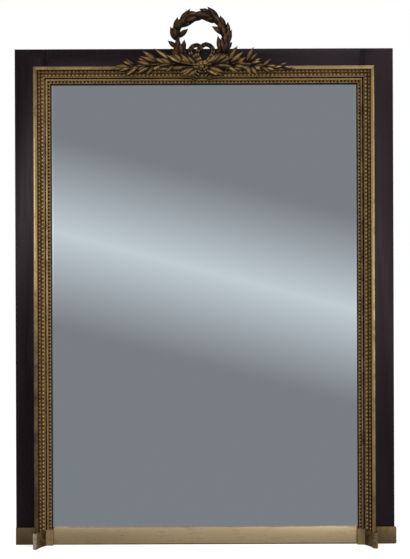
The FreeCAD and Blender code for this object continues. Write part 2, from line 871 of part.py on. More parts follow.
def make_crest_pegs(x, z):
    """Two square pegs from the back of the top rail into the crest's block."""
    half = S.peg_size / 2
    depths = (S.rail_setback, S.rail_setback + S.crest_peg_length)
    pegs = []
    for side in (-1, 1):
        middle = x + S.crest_peg_spacing / 2 * side
        span = (middle - half, middle + half)
        pegs.append(box(f"crest_peg_{len(pegs)}", span, depths, (z - half, z + half)))
    return node(group("crest_pegs", pegs), "crest_pegs")


def make_crest():
    """The crest on its block; gives back the pegs, which also go through the top rail."""
    block = doc.addObject("PartDesign::Body", "crest_block_body")
    width = S.wreath_radius * BLOCK_WIDTH_SHARE
    left = knot_x - S.wreath_shift - width / 2
    right = left + width
    low = outer_z
    high = outer_z + S.wreath_foot + S.wreath_radius * BLOCK_HEIGHT_SHARE
    corner = S.crest_block_corner
    outline = [(left, low), (right, low), (right, high - corner)]
    outline += [(right - corner, high), (left + corner, high), (left, high - corner)]
    pad(block, "crest_stock", "XZ_Plane", [outline], board_front, S.fillet_rise)
    pegs = make_crest_pegs((left + right) / 2, (low + high) / 2)
    node(cut("crest_block", block, pegs), "crest_block")

    wreath_x = knot_x - S.wreath_shift
    wreath_z = knot_z + S.wreath_foot + S.wreath_radius
    left_branch = wreath_branch(LEFT_WREATH_TURN_SHARES, LEFT_WREATH_SHARES)
    right_branch = wreath_branch(RIGHT_WREATH_TURN_SHARES, RIGHT_WREATH_SHARES)
    carved("wreath_branch_left", left_branch, wreath_x, crest_front, wreath_z)
    carved("wreath_branch_right", right_branch, wreath_x, crest_front, wreath_z)
    carved("laurel_spray_left", spray(-1, LEFT_SPRAY_SHARES), knot_x, crest_front, knot_z)
    carved("laurel_spray_right", spray(1, RIGHT_SPRAY_SHARES), knot_x, crest_front, knot_z)
    carved("ribbon_bow", ribbon_bow(), knot_x, crest_front, knot_z)
    carved("ribbon_tail_left", ribbon_tail(-1, LEFT_TAIL_SHARES), knot_x, crest_front, knot_z)
    carved("ribbon_tail_right", ribbon_tail(1, RIGHT_TAIL_SHARES), knot_x, crest_front, knot_z)
    carved("ribbon_knot", ribbon_knot(), knot_x, crest_front, knot_z)
    return pegs


# Hangers: a plate with a knuckle for each D-shaped ring, on the back of the top rail


def bent_ring(points, radius):
    """Closed ring of round wire through some corners, mitred at each."""
    turns = [2 * math.pi * (k + 0.5) / WIRE_SIDES for k in range(WIRE_SIDES)]
    sections = []
    for i, point in enumerate(points):
        before = (point - points[i - 1]).normalize()
        after = (points[(i + 1) % len(points)] - point).normalize()
        along = (before + after).normalize()
        across = along.cross(OUT) * (radius / along.dot(after))
        sections.append(
            [point + across * math.cos(a) + OUT * (radius * math.sin(a)) for a in turns]
        )
    return faceted(sections + sections[:1])


def make_hanger(side, name):
    middle = (half_width - S.hanger_inset) * side
    half = S.hanger_width / 2
    depths = (S.rail_setback - S.hanger_thickness, S.rail_setback)
    heights = (hanger_z - S.hanger_drop, hanger_z - S.hanger_drop + S.hanger_height)
    plate = box(f"{name}_plate_stock", (middle - half, middle + half), depths, heights)
    low_x = middle - S.knuckle_width / 2
    width = S.knuckle_width
    knuckle = cylinder(
        f"{name}_knuckle", S.knuckle_radius, width, low_x, ring_depth, hanger_z, ALONG_X
    )
    radius = S.ring_wire_radius + S.pin_clearance
    bore = cylinder(f"{name}_bore", radius, width, low_x, ring_depth, hanger_z, ALONG_X)
    stock = fused(f"{name}_stock", [plate, knuckle])
    node(cut(f"hanger_plate_{name}", stock, bore), f"hanger_plate_{name}")

    turns = [math.pi * (1 + k / RING_STEPS) for k in range(RING_STEPS + 1)]
    bow = [FreeCAD.Vector(math.cos(a), 0, math.sin(a)) * S.ring_radius for a in turns]
    ring = bent_ring(bow, S.ring_wire_radius)
    carved(f"hanging_ring_{name}", ring, middle, ring_depth, hanger_z)


make_stiles()
top_z = (rail_z, S.frame_height)
top_rail = rail_body(
    "top_rail_body", S.rail_setback, top_z, top_tenon_depth, top_tenon_z, peg_heights[:-1]
)
bottom_rail = rail_body(
    "bottom_rail_body", 0, (0, sill_z), bottom_tenon_depth, bottom_tenon_z, peg_heights[-1:]
)
node(bottom_rail, "bottom_rail")
make_pegs()
make_mouldings()
make_pearl_strips()
make_fine_strips()
make_plinth()
make_plinth_blocks()
make_glass()
make_glazing_blocks()
make_back_boards()
crest_pegs = make_crest()
node(cut("top_rail", top_rail, crest_pegs), "top_rail")
make_hanger(-1, "left")
make_hanger(1, "right")
doc.recompute()

for item in doc.Objects:
    if "Invalid" in item.State or "Error" in item.State:
        raise RuntimeError(f"{item.Name} failed: {item.State}")
for piece in nodes:
    if piece.Shape.isNull() or not piece.Shape.isValid():
        raise RuntimeError(f"{piece.Label} has no valid shape")

os.makedirs("parts", exist_ok=True)
for piece in nodes:
    piece.Shape.exportStep(f"parts/{piece.Label}.step")
print(f"{len(nodes)} pieces written")
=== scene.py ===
# %% [markdown]
# # An overmantel mirror, dressed for the camera
# The solids of the mirror come in as a fixed frame, in metres, with the front towards -Y.
# This lesson keeps every solid where it is and gives each one its real surface: gilding worn
# down to red clay, black polish, silvered glass and old pine. Where carving is too fine for the
# solids, such as pearls, leaves and ribbon, a finer mesh stands in the solid's place.

import json
import math
import random

import bmesh
import bpy
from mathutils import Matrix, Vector


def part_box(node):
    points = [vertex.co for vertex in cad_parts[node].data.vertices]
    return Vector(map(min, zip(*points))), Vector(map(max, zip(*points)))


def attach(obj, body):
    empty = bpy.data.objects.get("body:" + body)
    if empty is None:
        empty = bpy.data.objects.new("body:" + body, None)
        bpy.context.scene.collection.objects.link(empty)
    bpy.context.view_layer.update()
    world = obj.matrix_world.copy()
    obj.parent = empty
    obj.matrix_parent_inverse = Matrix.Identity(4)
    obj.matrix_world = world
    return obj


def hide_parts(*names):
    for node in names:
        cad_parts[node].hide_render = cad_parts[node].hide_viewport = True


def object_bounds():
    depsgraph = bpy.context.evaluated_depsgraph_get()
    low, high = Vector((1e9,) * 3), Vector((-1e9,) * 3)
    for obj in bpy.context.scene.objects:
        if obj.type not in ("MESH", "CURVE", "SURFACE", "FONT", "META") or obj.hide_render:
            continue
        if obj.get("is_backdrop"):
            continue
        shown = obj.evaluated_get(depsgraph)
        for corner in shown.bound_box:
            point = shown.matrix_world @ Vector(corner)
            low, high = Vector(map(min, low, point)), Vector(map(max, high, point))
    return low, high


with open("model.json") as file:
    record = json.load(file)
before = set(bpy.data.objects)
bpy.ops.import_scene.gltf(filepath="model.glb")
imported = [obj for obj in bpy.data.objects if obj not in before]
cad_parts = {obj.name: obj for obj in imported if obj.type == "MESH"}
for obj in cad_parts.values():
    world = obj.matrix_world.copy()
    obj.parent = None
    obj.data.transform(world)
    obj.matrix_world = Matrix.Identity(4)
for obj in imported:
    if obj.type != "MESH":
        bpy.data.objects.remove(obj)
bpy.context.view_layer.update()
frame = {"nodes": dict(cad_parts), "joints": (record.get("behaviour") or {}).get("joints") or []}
nodes = frame["nodes"]
MM = 0.001

# %% [markdown]
# ## Camera
# A product photographer stands straight in front of a mirror, level with the glass, so that the
# frame stays square. The distance, the height and a hint of roll were found by laying the solids'
# corners over the photograph. The sensor's 36 mm lie along the picture's long side.

# %% Camera
PHOTO_HEIGHT = 559
FOCAL_PIXELS = 787
SENSOR_MM = 36
CAMERA_PLACE = Vector((0.0015, -2.534, 0.838))
CAMERA_ROLL = math.radians(0.2)

camera_data = bpy.data.cameras.new("camera")
camera_data.sensor_width = SENSOR_MM
camera_data.lens = FOCAL_PIXELS / PHOTO_HEIGHT * SENSOR_MM
camera = bpy.data.objects.new("camera", camera_data)
camera.location = CAMERA_PLACE
camera.rotation_euler = (math.radians(90), CAMERA_ROLL, 0)
bpy.context.scene.collection.objects.link(camera)
bpy.context.scene.camera = camera
print("lens", round(camera_data.lens, 1), "mm")

# %% [markdown]
# ## Small helpers
# Colours are picked as sRGB hex codes, as a paint program shows them, and turned to linear light
# once. Every node tree below, of a material or of geometry, is made with the same one function:
# it adds a node, sets it, and links or fills its inputs. A pattern's scale is the number of
# times that it repeats in a metre, so it is worked out from a size in millimetres.

# %% Helpers for colours and nodes
def linear(code):
    """Linear colour of an sRGB hex code."""
    channels = [int(code[i : i + 2], 16) / 255 for i in (1, 3, 5)]
    bent = [c / 12.92 if c <= 0.04045 else ((c + 0.055) / 1.055) ** 2.4 for c in channels]
    return (*bent, 1)


def add(tree, kind, links=None, **settings):
    """Add a node with its settings, and link or fill its inputs by name or number."""
    made = tree.nodes.new(kind)
    for name, value in settings.items():
        setattr(made, name, value)
    for name, source in (links or {}).items():
        if isinstance(source, bpy.types.NodeSocket):
            tree.links.new(source, made.inputs[name])
        else:
            made.inputs[name].default_value = source
    return made


def per_metre(size_mm):
    """Scale of a pattern from the size of its grain."""
    return 1 / (size_mm * MM)


def new_tree(name):
    """A material with an empty tree."""
    material = bpy.data.materials.new(name)
    material.use_nodes = True
    material.node_tree.nodes.clear()
    return material, material.node_tree


print("gold leaf in linear light:", [round(c, 3) for c in linear("#dab67c")[:3]])

# %% [markdown]
# ## Stage and light
# The photograph has a white background and even light. Stronger lamps would whiten the floor,
# but they would bleach the gilding too. So two large lamps and a pale sky light the object at a
# plain level, and the floor and the sky are white only to the rays that show the background.

# %% Floor, sky and lamps
def stage_box(name, low, high):
    """A box that belongs to the studio, from its lowest to its highest corner."""
    mesh = bpy.data.meshes.new(name)
    shape = bmesh.new()
    bmesh.ops.create_cube(shape, size=1)
    for vertex in shape.verts:
        vertex.co = [a + (c + 0.5) * (b - a) for a, b, c in zip(low, high, vertex.co)]
    shape.to_mesh(mesh)
    shape.free()
    studio = bpy.data.objects.new(name, mesh)
    bpy.context.scene.collection.objects.link(studio)
    studio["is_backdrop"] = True
    return studio


def background_rays(tree):
    """1 for rays that show the background: straight to the camera, or by way of metal or glass."""
    rays = add(tree, "ShaderNodeLightPath").outputs
    shown = rays["Is Camera Ray"]
    for kind in ("Is Glossy Ray", "Is Transmission Ray"):
        shown = add(tree, "ShaderNodeMath", {0: shown, 1: rays[kind]}, operation="MAXIMUM").outputs[0]
    return shown


FLOOR_HALF = 30
FLOOR_DEPTH = 0.02
FLOOR_GLOW = 0.6
SKY_LIGHT = 0.5
LAMP_WIDTH = 2.2

floor = stage_box("floor", (-FLOOR_HALF, -FLOOR_HALF, -FLOOR_DEPTH), (FLOOR_HALF, FLOOR_HALF, 0))
# The mirror reflects the tent, which comes in the next cell, and not the floor.
floor.visible_glossy = False
# White paint: matt, so that the floor keeps the object's soft shadow.
white_floor, tree = new_tree("white_floor")
matt = add(tree, "ShaderNodeBsdfDiffuse", {"Color": linear("#f4f4f4")})
glow = add(tree, "ShaderNodeEmission", {"Strength": FLOOR_GLOW})
lit = add(tree, "ShaderNodeAddShader", {0: matt.outputs[0], 1: glow.outputs[0]})
seen = add(
    tree, "ShaderNodeMixShader", {0: background_rays(tree), 1: matt.outputs[0], 2: lit.outputs[0]}
)
add(tree, "ShaderNodeOutputMaterial", {"Surface": seen.outputs[0]})
floor.data.materials.append(white_floor)

world = bpy.data.worlds.new("studio_sky")
bpy.context.scene.world = world
world.use_nodes = True
tree = world.node_tree
tree.nodes.clear()
level = add(
    tree, "ShaderNodeMapRange", {"Value": background_rays(tree), "To Min": SKY_LIGHT, "To Max": 1}
)
sky = add(tree, "ShaderNodeBackground", {"Color": (1, 1, 1, 1), "Strength": level.outputs[0]})
add(tree, "ShaderNodeOutputWorld", {"Surface": sky.outputs[0]})


def soft_lamp(name, place, power):
    """A square lamp that looks at the middle of the glass and isn't seen in it."""
    lamp_data = bpy.data.lights.new(name, "AREA")
    lamp_data.size = LAMP_WIDTH
    lamp_data.energy = power
    lamp = bpy.data.objects.new(name, lamp_data)
    lamp.location = place
    aim = Vector((0, 0, CAMERA_PLACE.z)) - lamp.location
    lamp.rotation_euler = aim.to_track_quat("-Z", "Y").to_euler()
    lamp.visible_glossy = False
    bpy.context.scene.collection.objects.link(lamp)


soft_lamp("key_lamp", (-1.8, -3.2, 3.0), 55)
soft_lamp("fill_lamp", (2.6, -3.0, 1.6), 50)
bpy.context.scene.view_settings.view_transform = "Standard"
print("floor, sky and", len(bpy.data.lights), "lamps")

# %% [markdown]
# The mirror shows whatever stands in front of it. The bright band in the glass could be painted
# on the plate, but then it would stay still when the camera moves, so it is made in the room. A
# grey tent stands round the scene, with one soft bright strip that runs down to the right across
# its front wall. Beside the part that the glass sees, that wall goes from dark to bright upwards,
# which the polished boards show. The roof is bright and the ground dark, which gives the gilding
# its light and shade. Only reflections see the tent.

# %% Grey tent with a bright strip
# Where the tent's walls stand, in metres, and how near to the front one counts as on it.
TENT_HALF = 9
TENT_FRONT = 6.0
TENT_BACK = 7
AT_FRONT = 0.1
# The strip on the front wall: its height in the middle, slope, reach to both sides and fading.
STRIP_MIDDLE = 0.93
STRIP_SLOPE = 0.262
STRIP_REACH = 1.04
STRIP_FADE = 1.22
# How far out the glass and the boards see the front wall, and how softly that ends.
GLASS_SEES, GLASS_FADE = 1.62, 0.1
BOARDS_SEE, BOARDS_FADE = 3.2, 1
# Brightness at the left and at the right: at the foot and the head of the wall, and above them.
LEFT_WALL = (0.05, 3.1, 0.1)
RIGHT_WALL = (1.1, 3.5, 0.6)
FOOT_Z, HEAD_Z = -0.6, 1
ABOVE_LOW_Z, ABOVE_HIGH_Z = 2.95, 3.3
# The roof and the ground: the heights between which they come in, and their brightness.
ROOF_LOW_Z, ROOF_HIGH_Z, ROOF_LEVEL = 5, 8, 7
GROUND_LOW_Z, GROUND_HIGH_Z, GROUND_LEVEL = -5, -2, 0.4

tent = stage_box(
    "grey_tent", (-TENT_HALF, -TENT_FRONT, -TENT_HALF), (TENT_HALF, TENT_BACK, TENT_HALF)
)
tent.visible_camera = False
tent.visible_diffuse = False
tent.visible_shadow = False
tent.visible_transmission = False

# Tent cloth: an even grey that glows by itself, so no lamp leaves a spot on it.
tent_cloth, tree = new_tree("tent_cloth")
place = add(tree, "ShaderNodeTexCoord").outputs["Object"]
x, y, z = add(tree, "ShaderNodeSeparateXYZ", {0: place}).outputs[:3]
front = add(tree, "ShaderNodeMath", {0: y, 1: AT_FRONT - TENT_FRONT}, operation="LESS_THAN").outputs[0]

slope = add(tree, "ShaderNodeMath", {0: x, 1: STRIP_SLOPE, 2: z}, operation="MULTIPLY_ADD").outputs[0]
off = add(tree, "ShaderNodeMath", {0: slope, 1: STRIP_MIDDLE}, operation="SUBTRACT").outputs[0]
off = add(tree, "ShaderNodeMath", {0: off}, operation="ABSOLUTE").outputs[0]
strip = add(
    tree, "ShaderNodeMapRange", {"Value": off, "From Max": STRIP_REACH, "To Min": 1, "To Max": 0}
).outputs[0]
strip = add(tree, "ShaderNodeMath", {0: strip, 1: STRIP_FADE}, operation="POWER").outputs[0]
strip = add(tree, "ShaderNodeMath", {0: strip, 1: front}, operation="MULTIPLY").outputs[0]
cloth = add(
    tree, "ShaderNodeMix", {0: strip, 6: linear("#80838a"), 7: linear("#ccd5dc")}, data_type="RGBA"
).outputs[2]

wide = add(tree, "ShaderNodeMath", {0: x}, operation="ABSOLUTE").outputs[0]
beside = add(
    tree,
    "ShaderNodeMapRange",
    {"Value": wide, "From Min": GLASS_SEES, "From Max": GLASS_SEES + GLASS_FADE},
).outputs[0]
near = add(
    tree,
    "ShaderNodeMapRange",
    {
        "Value": wide,
        "From Min": BOARDS_SEE,
        "From Max": BOARDS_SEE + BOARDS_FADE,
        "To Min": 1,
        "To Max": 0,
    },
).outputs[0]
beside = add(tree, "ShaderNodeMath", {0: beside, 1: near}, operation="MULTIPLY").outputs[0]
beside = add(tree, "ShaderNodeMath", {0: beside, 1: front}, operation="MULTIPLY").outputs[0]
rightward = add(tree, "ShaderNodeMapRange", {"Value": x, "From Min": -1, "From Max": 1}).outputs[0]
foot, head, brow = (
    add(tree, "ShaderNodeMix", {0: rightward, 2: left, 3: right}).outputs[0]
    for left, right in zip(LEFT_WALL, RIGHT_WALL)
)
wall = add(
    tree,
    "ShaderNodeMapRange",
    {"Value": z, "From Min": FOOT_Z, "From Max": HEAD_Z, "To Min": foot, "To Max": head},
).outputs[0]
level = add(tree, "ShaderNodeMix", {0: beside, 2: 1.0, 3: wall}).outputs[0]
for low_z, high_z, lower, upper in (
    (ROOF_LOW_Z, ROOF_HIGH_Z, 1, ROOF_LEVEL),
    (ABOVE_LOW_Z, ABOVE_HIGH_Z, 1, brow),
    (GROUND_LOW_Z, GROUND_HIGH_Z, GROUND_LEVEL, 1),
):
    part = add(
        tree,
        "ShaderNodeMapRange",
        {"Value": z, "From Min": low_z, "From Max": high_z, "To Min": lower, "To Max": upper},
    ).outputs[0]
    level = add(tree, "ShaderNodeMath", {0: level, 1: part}, operation="MULTIPLY").outputs[0]
glow = add(tree, "ShaderNodeEmission", {"Color": cloth, "Strength": level})
add(tree, "ShaderNodeOutputMaterial", {"Surface": glow.outputs[0]})
tent_cloth.cycles.emission_sampling = "NONE"
tent.data.materials.append(tent_cloth)
print("tent front wall", TENT_FRONT, "m from the wall plane")

# %% [markdown]
# ## Materials
# Old gilding is gold leaf laid on red clay, the bole, over a pale ground. Years of dusting rub it
# through on the high edges and leave dark dirt in the hollows. The hollows could be found from the
# shape, but here each gilt piece carries a number at every point, its wear and shade, which the
# maker can choose: 0 deep in a hollow, about 1 on an edge that a cloth touches, and more where a
# ground colour shows. Besides wear and dirt, the number paints light: hollows are darkened further
# as painted shade, and ridges and stretches of fillet are lightened as painted highlight. The
# material breaks that number up with noise. Some pieces also gather dust on their ledges or have a
# painted shadow line at their foot, some have patches drawn out along their length, and faces that
# look to the wall are bare wood.

# %% Gilding
LOOKS_BACK = 0.7
MOST_WEAR = 1.6
# Shares of that wear: where painted shade, dirt and leaf come, where the leaf ends and the ground colour
# takes over.
DARKEST_AT, DIRT_AT, LEAF_AT = 0.02, 0.13, 0.6
LEAF_END = LEAF_AT + 0.12
GROUND_FROM, GROUND_AT = LEAF_AT + 0.15, 0.9
# Specks of lost leaf are finer on the real frame. These are as coarse as they need to be to show.
SPECK_MM = 5


def faces_back(tree):
    """1 on faces that look to the wall, 0 elsewhere."""
    normal = add(tree, "ShaderNodeNewGeometry").outputs["True Normal"]
    backward = add(tree, "ShaderNodeSeparateXYZ", {0: normal}).outputs["Y"]
    return add(tree, "ShaderNodeMath", {0: backward, 1: LOOKS_BACK}, operation="GREATER_THAN").outputs[0]


def gilding(name, leaf, dirt, patch_mm, ledge=0.0, ground_as_sheen=None, shine=0.33, foot_shadow_mm=0, streak=1.0):
    """Leaf over bole by wear and shade: painted shade deep in the hollows, then dirt, then gold, then any
    ground colour.

    A ledge is dusty by a share, a foot is darkened up to a height as a painted shadow line, and a
    streak under 1 draws the patches out along X.
    """
    material, tree = new_tree(name)
    place = add(tree, "ShaderNodeTexCoord").outputs["Object"]
    place = add(tree, "ShaderNodeMapping", {"Vector": place, "Scale": (streak, 1, 1)}).outputs[0]
    wear_and_shade = add(tree, "ShaderNodeAttribute", attribute_name="wear_and_shade").outputs["Fac"]
    patches = add(
        tree,
        "ShaderNodeTexNoise",
        {"Vector": place, "Scale": per_metre(patch_mm), "Detail": 5, "Roughness": 0.6},
    ).outputs["Fac"]
    specks = add(
        tree,
        "ShaderNodeTexNoise",
        {"Vector": place, "Scale": per_metre(SPECK_MM), "Detail": 6, "Roughness": 0.7},
    ).outputs["Fac"]
    patchy = add(
        tree,
        "ShaderNodeMapRange",
        {"Value": patches, "From Min": 0.3, "From Max": 0.7, "To Min": 0.6, "To Max": 1.4},
    ).outputs[0]
    normal = add(tree, "ShaderNodeNewGeometry").outputs["True Normal"]
    upward = add(tree, "ShaderNodeSeparateXYZ", {0: normal}).outputs["Z"]
    dusty = add(
        tree,
        "ShaderNodeMapRange",
        {"Value": upward, "From Min": 0.5, "From Max": 0.9, "To Min": 1, "To Max": 1 - ledge},
    ).outputs[0]
    clean = add(tree, "ShaderNodeMath", {0: wear_and_shade, 1: patchy}, operation="MULTIPLY").outputs[0]
    clean = add(tree, "ShaderNodeMath", {0: clean, 1: dusty}, operation="MULTIPLY").outputs[0]
    # A painted shadow line darkens the foot up to a height.
    if foot_shadow_mm:
        height = add(tree, "ShaderNodeSeparateXYZ", {0: place}).outputs["Z"]
        top = foot_shadow_mm * MM
        foot_shadow = add(
            tree,
            "ShaderNodeMapRange",
            {"Value": height, "From Min": top / 2, "From Max": top, "To Min": 0.1},
        ).outputs[0]
        clean = add(tree, "ShaderNodeMath", {0: clean, 1: foot_shadow}, operation="MULTIPLY").outputs[0]
    share = add(tree, "ShaderNodeMath", {0: clean, 1: 1 / MOST_WEAR}, operation="MULTIPLY").outputs[0]
    steps = add(tree, "ShaderNodeValToRGB", {0: share})
    ramp = steps.color_ramp.elements
    # The darkest colour is painted shade deep in the hollows.
    ramp[0].position, ramp[0].color = DARKEST_AT, linear("#120904")
    ramp[1].position, ramp[1].color = 1, linear(ground_as_sheen or leaf)
    for at, shade in ((DIRT_AT, dirt), (LEAF_AT, leaf), (LEAF_END, leaf)):
        ramp.new(at).color = linear(shade)
    gone = add(
        tree, "ShaderNodeMapRange", {"Value": specks, "From Min": 0.64, "From Max": 0.72}
    ).outputs[0]
    colour = add(
        tree, "ShaderNodeMix", {0: gone, 6: steps.outputs[0], 7: linear("#3a2010")}, data_type="RGBA"
    ).outputs[2]
    back = faces_back(tree)
    colour = add(
        tree, "ShaderNodeMix", {0: back, 6: colour, 7: linear("#6a4c30")}, data_type="RGBA"
    ).outputs[2]
    metal = add(
        tree,
        "ShaderNodeMapRange",
        {"Value": share, "From Max": LEAF_AT, "To Min": 0.3, "To Max": 0.85},
    ).outputs[0]
    if ground_as_sheen:
        kept = add(
            tree,
            "ShaderNodeMapRange",
            {"Value": share, "From Min": GROUND_FROM, "From Max": GROUND_AT, "To Min": 1, "To Max": 0},
        ).outputs[0]
        metal = add(tree, "ShaderNodeMath", {0: metal, 1: kept}, operation="MULTIPLY").outputs[0]
    metal = add(
        tree, "ShaderNodeMath", {0: metal, 1: back}, operation="SUBTRACT", use_clamp=True
    ).outputs[0]
    rough = add(
        tree,
        "ShaderNodeMapRange",
        {"Value": share, "From Max": LEAF_AT, "To Min": 0.65, "To Max": shine},
    ).outputs[0]
    relief = add(
        tree, "ShaderNodeBump", {"Strength": 0.35, "Distance": 0.3 * MM, "Height": specks}
    ).outputs[0]
    shader = add(
        tree,
        "ShaderNodeBsdfPrincipled",
        {"Base Color": colour, "Metallic": metal, "Roughness": rough, "Normal": relief},
    )
    add(tree, "ShaderNodeOutputMaterial", {"Surface": shader.outputs[0]})
    return material


# The moulding is burnished: smooth gold that shines in long patches, dull on its ledges.
moulding_gilding = gilding("moulding_gilding", "#dab67c", "#4e3a24", 35, ledge=0.5, shine=0.2)
# Pearls are bright on their crowns, with brown dirt and painted shade between them.
pearl_gilding = gilding("pearl_gilding", "#ecc486", "#6a4216", 12)
# Carving is gold on its ridges and nearly black in its hollows: dirt, with painted highlight and painted
# shade.
carved_gilding = gilding("carved_gilding", "#dfb268", "#20120a", 14)
# The wreath has gone brown, and shows little gold.
wreath_gilding = gilding("wreath_gilding", "#845c32", "#1a0f08", 14)
# The plinth is rubbed pale in streaks along its length, with a painted shadow line at its foot.
plinth_gilding = gilding(
    "plinth_gilding", "#ffdfaa", "#7c5434", 16, ledge=0.2, foot_shadow_mm=5, streak=0.22
)
# The ends of the plinth are duller and browner than its middle.
end_gilding = gilding("plinth_end_gilding", "#957a54", "#402c16", 40, ledge=0.5)
# The blocks are spotted, and their grey ground colour is a painted cold reflection, strongest on the left
# block's front.
block_gilding = gilding("plinth_block_gilding", "#c8a874", "#3a2512", 9, ledge=0.5, ground_as_sheen="#8c8787")
print("gilding:", [m.name for m in bpy.data.materials if m.name.endswith("gilding")])

# %% [markdown]
# The boards are ebonised: a plain wood is stained black and polished, so that it looks like
# ebony. A plain black would look like plastic. The polish has a satin shine that breaks up along
# the grain, and it is a little purple where it has faded. Nobody polishes the back of a frame, so
# faces that look to the wall are bare wood.

# %% Ebonised boards
# Real grain is about a millimetre wide. This is as coarse as it needs to be to show.
GRAIN_MM = 7
FADED_MM = 240


def ebonised(name, stretch):
    """Black polish with grain that is drawn out along one axis."""
    material, tree = new_tree(name)
    place = add(tree, "ShaderNodeTexCoord").outputs["Object"]
    drawn = add(tree, "ShaderNodeMapping", {"Vector": place, "Scale": stretch}).outputs[0]
    grain = add(
        tree,
        "ShaderNodeTexNoise",
        {"Vector": drawn, "Scale": per_metre(GRAIN_MM), "Detail": 7, "Roughness": 0.65},
    ).outputs["Fac"]
    cloud = add(
        tree, "ShaderNodeTexNoise", {"Vector": place, "Scale": per_metre(FADED_MM), "Detail": 3}
    ).outputs["Fac"]
    faded = add(
        tree, "ShaderNodeMapRange", {"Value": cloud, "From Min": 0.35, "From Max": 0.7}
    ).outputs[0]
    black = add(
        tree, "ShaderNodeMix", {0: grain, 6: linear("#0b0709"), 7: linear("#160f12")}, data_type="RGBA"
    ).outputs[2]
    black = add(
        tree, "ShaderNodeMix", {0: faded, 6: black, 7: linear("#1b1317")}, data_type="RGBA"
    ).outputs[2]
    bare = add(
        tree, "ShaderNodeMix", {0: grain, 6: linear("#4b3522"), 7: linear("#80603e")}, data_type="RGBA"
    ).outputs[2]
    back = faces_back(tree)
    colour = add(tree, "ShaderNodeMix", {0: back, 6: black, 7: bare}, data_type="RGBA").outputs[2]
    satin = add(
        tree,
        "ShaderNodeMapRange",
        {"Value": grain, "From Min": 0.3, "From Max": 0.7, "To Min": 0.2, "To Max": 0.34},
    ).outputs[0]
    rough = add(tree, "ShaderNodeMath", {0: satin, 1: back}, operation="MAXIMUM").outputs[0]
    relief = add(
        tree, "ShaderNodeBump", {"Strength": 0.12, "Distance": 0.3 * MM, "Height": grain}
    ).outputs[0]
    shader = add(
        tree,
        "ShaderNodeBsdfPrincipled",
        {"Base Color": colour, "Roughness": rough, "Specular Tint": linear("#ffe2e2"), "Normal": relief},
    )
    add(tree, "ShaderNodeOutputMaterial", {"Surface": shader.outputs[0]})
    return material


# Ebonised wood is nearly black, and its shine is drawn out along the board.
ALONG_GRAIN = 0.05
upright_polish = ebonised("ebonised_upright", (1, 1, ALONG_GRAIN))
level_polish = ebonised("ebonised_level", (ALONG_GRAIN, 1, 1))
print("polish:", upright_polish.name, level_polish.name)

# %% [markdown]
# The plate is glass with tin or silver on its back. Glass in front of metal could be traced ray
# by ray, but from the front that looks like a smooth metal that is hardly tinted, which is quicker
# and has no noise. The silvering is sealed with a grey-brown paint that only shows from behind.

# %% Mirror plate
# Silvered glass gives a clear reflection, a touch cooler than what it shows.
mirror_plate, tree = new_tree("silvered_glass")
back = faces_back(tree)
colour = add(
    tree, "ShaderNodeMix", {0: back, 6: linear("#f1f4f4"), 7: linear("#57504a")}, data_type="RGBA"
).outputs[2]
metal = add(tree, "ShaderNodeMath", {0: 1, 1: back}, operation="SUBTRACT").outputs[0]
rough = add(tree, "ShaderNodeMapRange", {"Value": back, "To Min": 0.01, "To Max": 0.8}).outputs[0]
shader = add(
    tree, "ShaderNodeBsdfPrincipled", {"Base Color": colour, "Metallic": metal, "Roughness": rough}
)
add(tree, "ShaderNodeOutputMaterial", {"Surface": shader.outputs[0]})
nodes["mirror_glass"].data.materials.clear()
nodes["mirror_glass"].data.materials.append(mirror_plate)
print("mirror:", mirror_plate.name)

# %% [markdown]
# The hidden woodwork is pine that has browned in the dark: growth rings run along each board as
# long flames, the saw has left it rough, and no two boards have the same tone. Each board could
# have its own material, but a board's row comes from its height, so one serves them all.

# %% Aged pine
FLAME_MM = 60
RINGS_IN_FLAME = 90
# Fibres are finer on real pine. These are as coarse as they need to be to show.
FIBRE_MM = 3
ALONG_BOARD = 0.06
(_, _, lowest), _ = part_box("back_board_1")
(_, _, second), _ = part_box("back_board_2")

# Aged pine is warm brown, with darker rings and grey where the fibres have caught dust.
aged_pine, tree = new_tree("aged_pine")
place = add(tree, "ShaderNodeTexCoord").outputs["Object"]
z = add(tree, "ShaderNodeSeparateXYZ", {0: place}).outputs["Z"]
row = add(tree, "ShaderNodeMath", {0: z, 1: lowest}, operation="SUBTRACT").outputs[0]
row = add(tree, "ShaderNodeMath", {0: row, 1: second - lowest}, operation="DIVIDE").outputs[0]
row = add(tree, "ShaderNodeMath", {0: row}, operation="FLOOR").outputs[0]
tone = add(tree, "ShaderNodeTexWhiteNoise", {"W": row}, noise_dimensions="1D").outputs["Value"]
shift = add(tree, "ShaderNodeCombineXYZ", {"X": tone, "Y": tone}).outputs[0]
moved = add(tree, "ShaderNodeVectorMath", {0: place, 1: shift}, operation="ADD").outputs[0]
drawn = add(tree, "ShaderNodeMapping", {"Vector": moved, "Scale": (ALONG_BOARD, 1, 1)}).outputs[0]
flame = add(
    tree,
    "ShaderNodeTexNoise",
    {"Vector": drawn, "Scale": per_metre(FLAME_MM), "Detail": 2, "Distortion": 0.6},
).outputs["Fac"]
rings = add(tree, "ShaderNodeMath", {0: flame, 1: RINGS_IN_FLAME}, operation="MULTIPLY").outputs[0]
rings = add(tree, "ShaderNodeMath", {0: rings}, operation="SINE").outputs[0]
rings = add(tree, "ShaderNodeMapRange", {"Value": rings, "From Min": -1, "From Max": 1}).outputs[0]
fibre = add(
    tree,
    "ShaderNodeTexNoise",
    {"Vector": drawn, "Scale": per_metre(FIBRE_MM), "Detail": 5, "Roughness": 0.7},
).outputs["Fac"]
light = add(
    tree, "ShaderNodeMix", {0: tone, 6: linear("#cfa873"), 7: linear("#94693c")}, data_type="RGBA"
).outputs[2]
colour = add(
    tree, "ShaderNodeMix", {0: rings, 6: light, 7: linear("#835a32")}, data_type="RGBA"
).outputs[2]
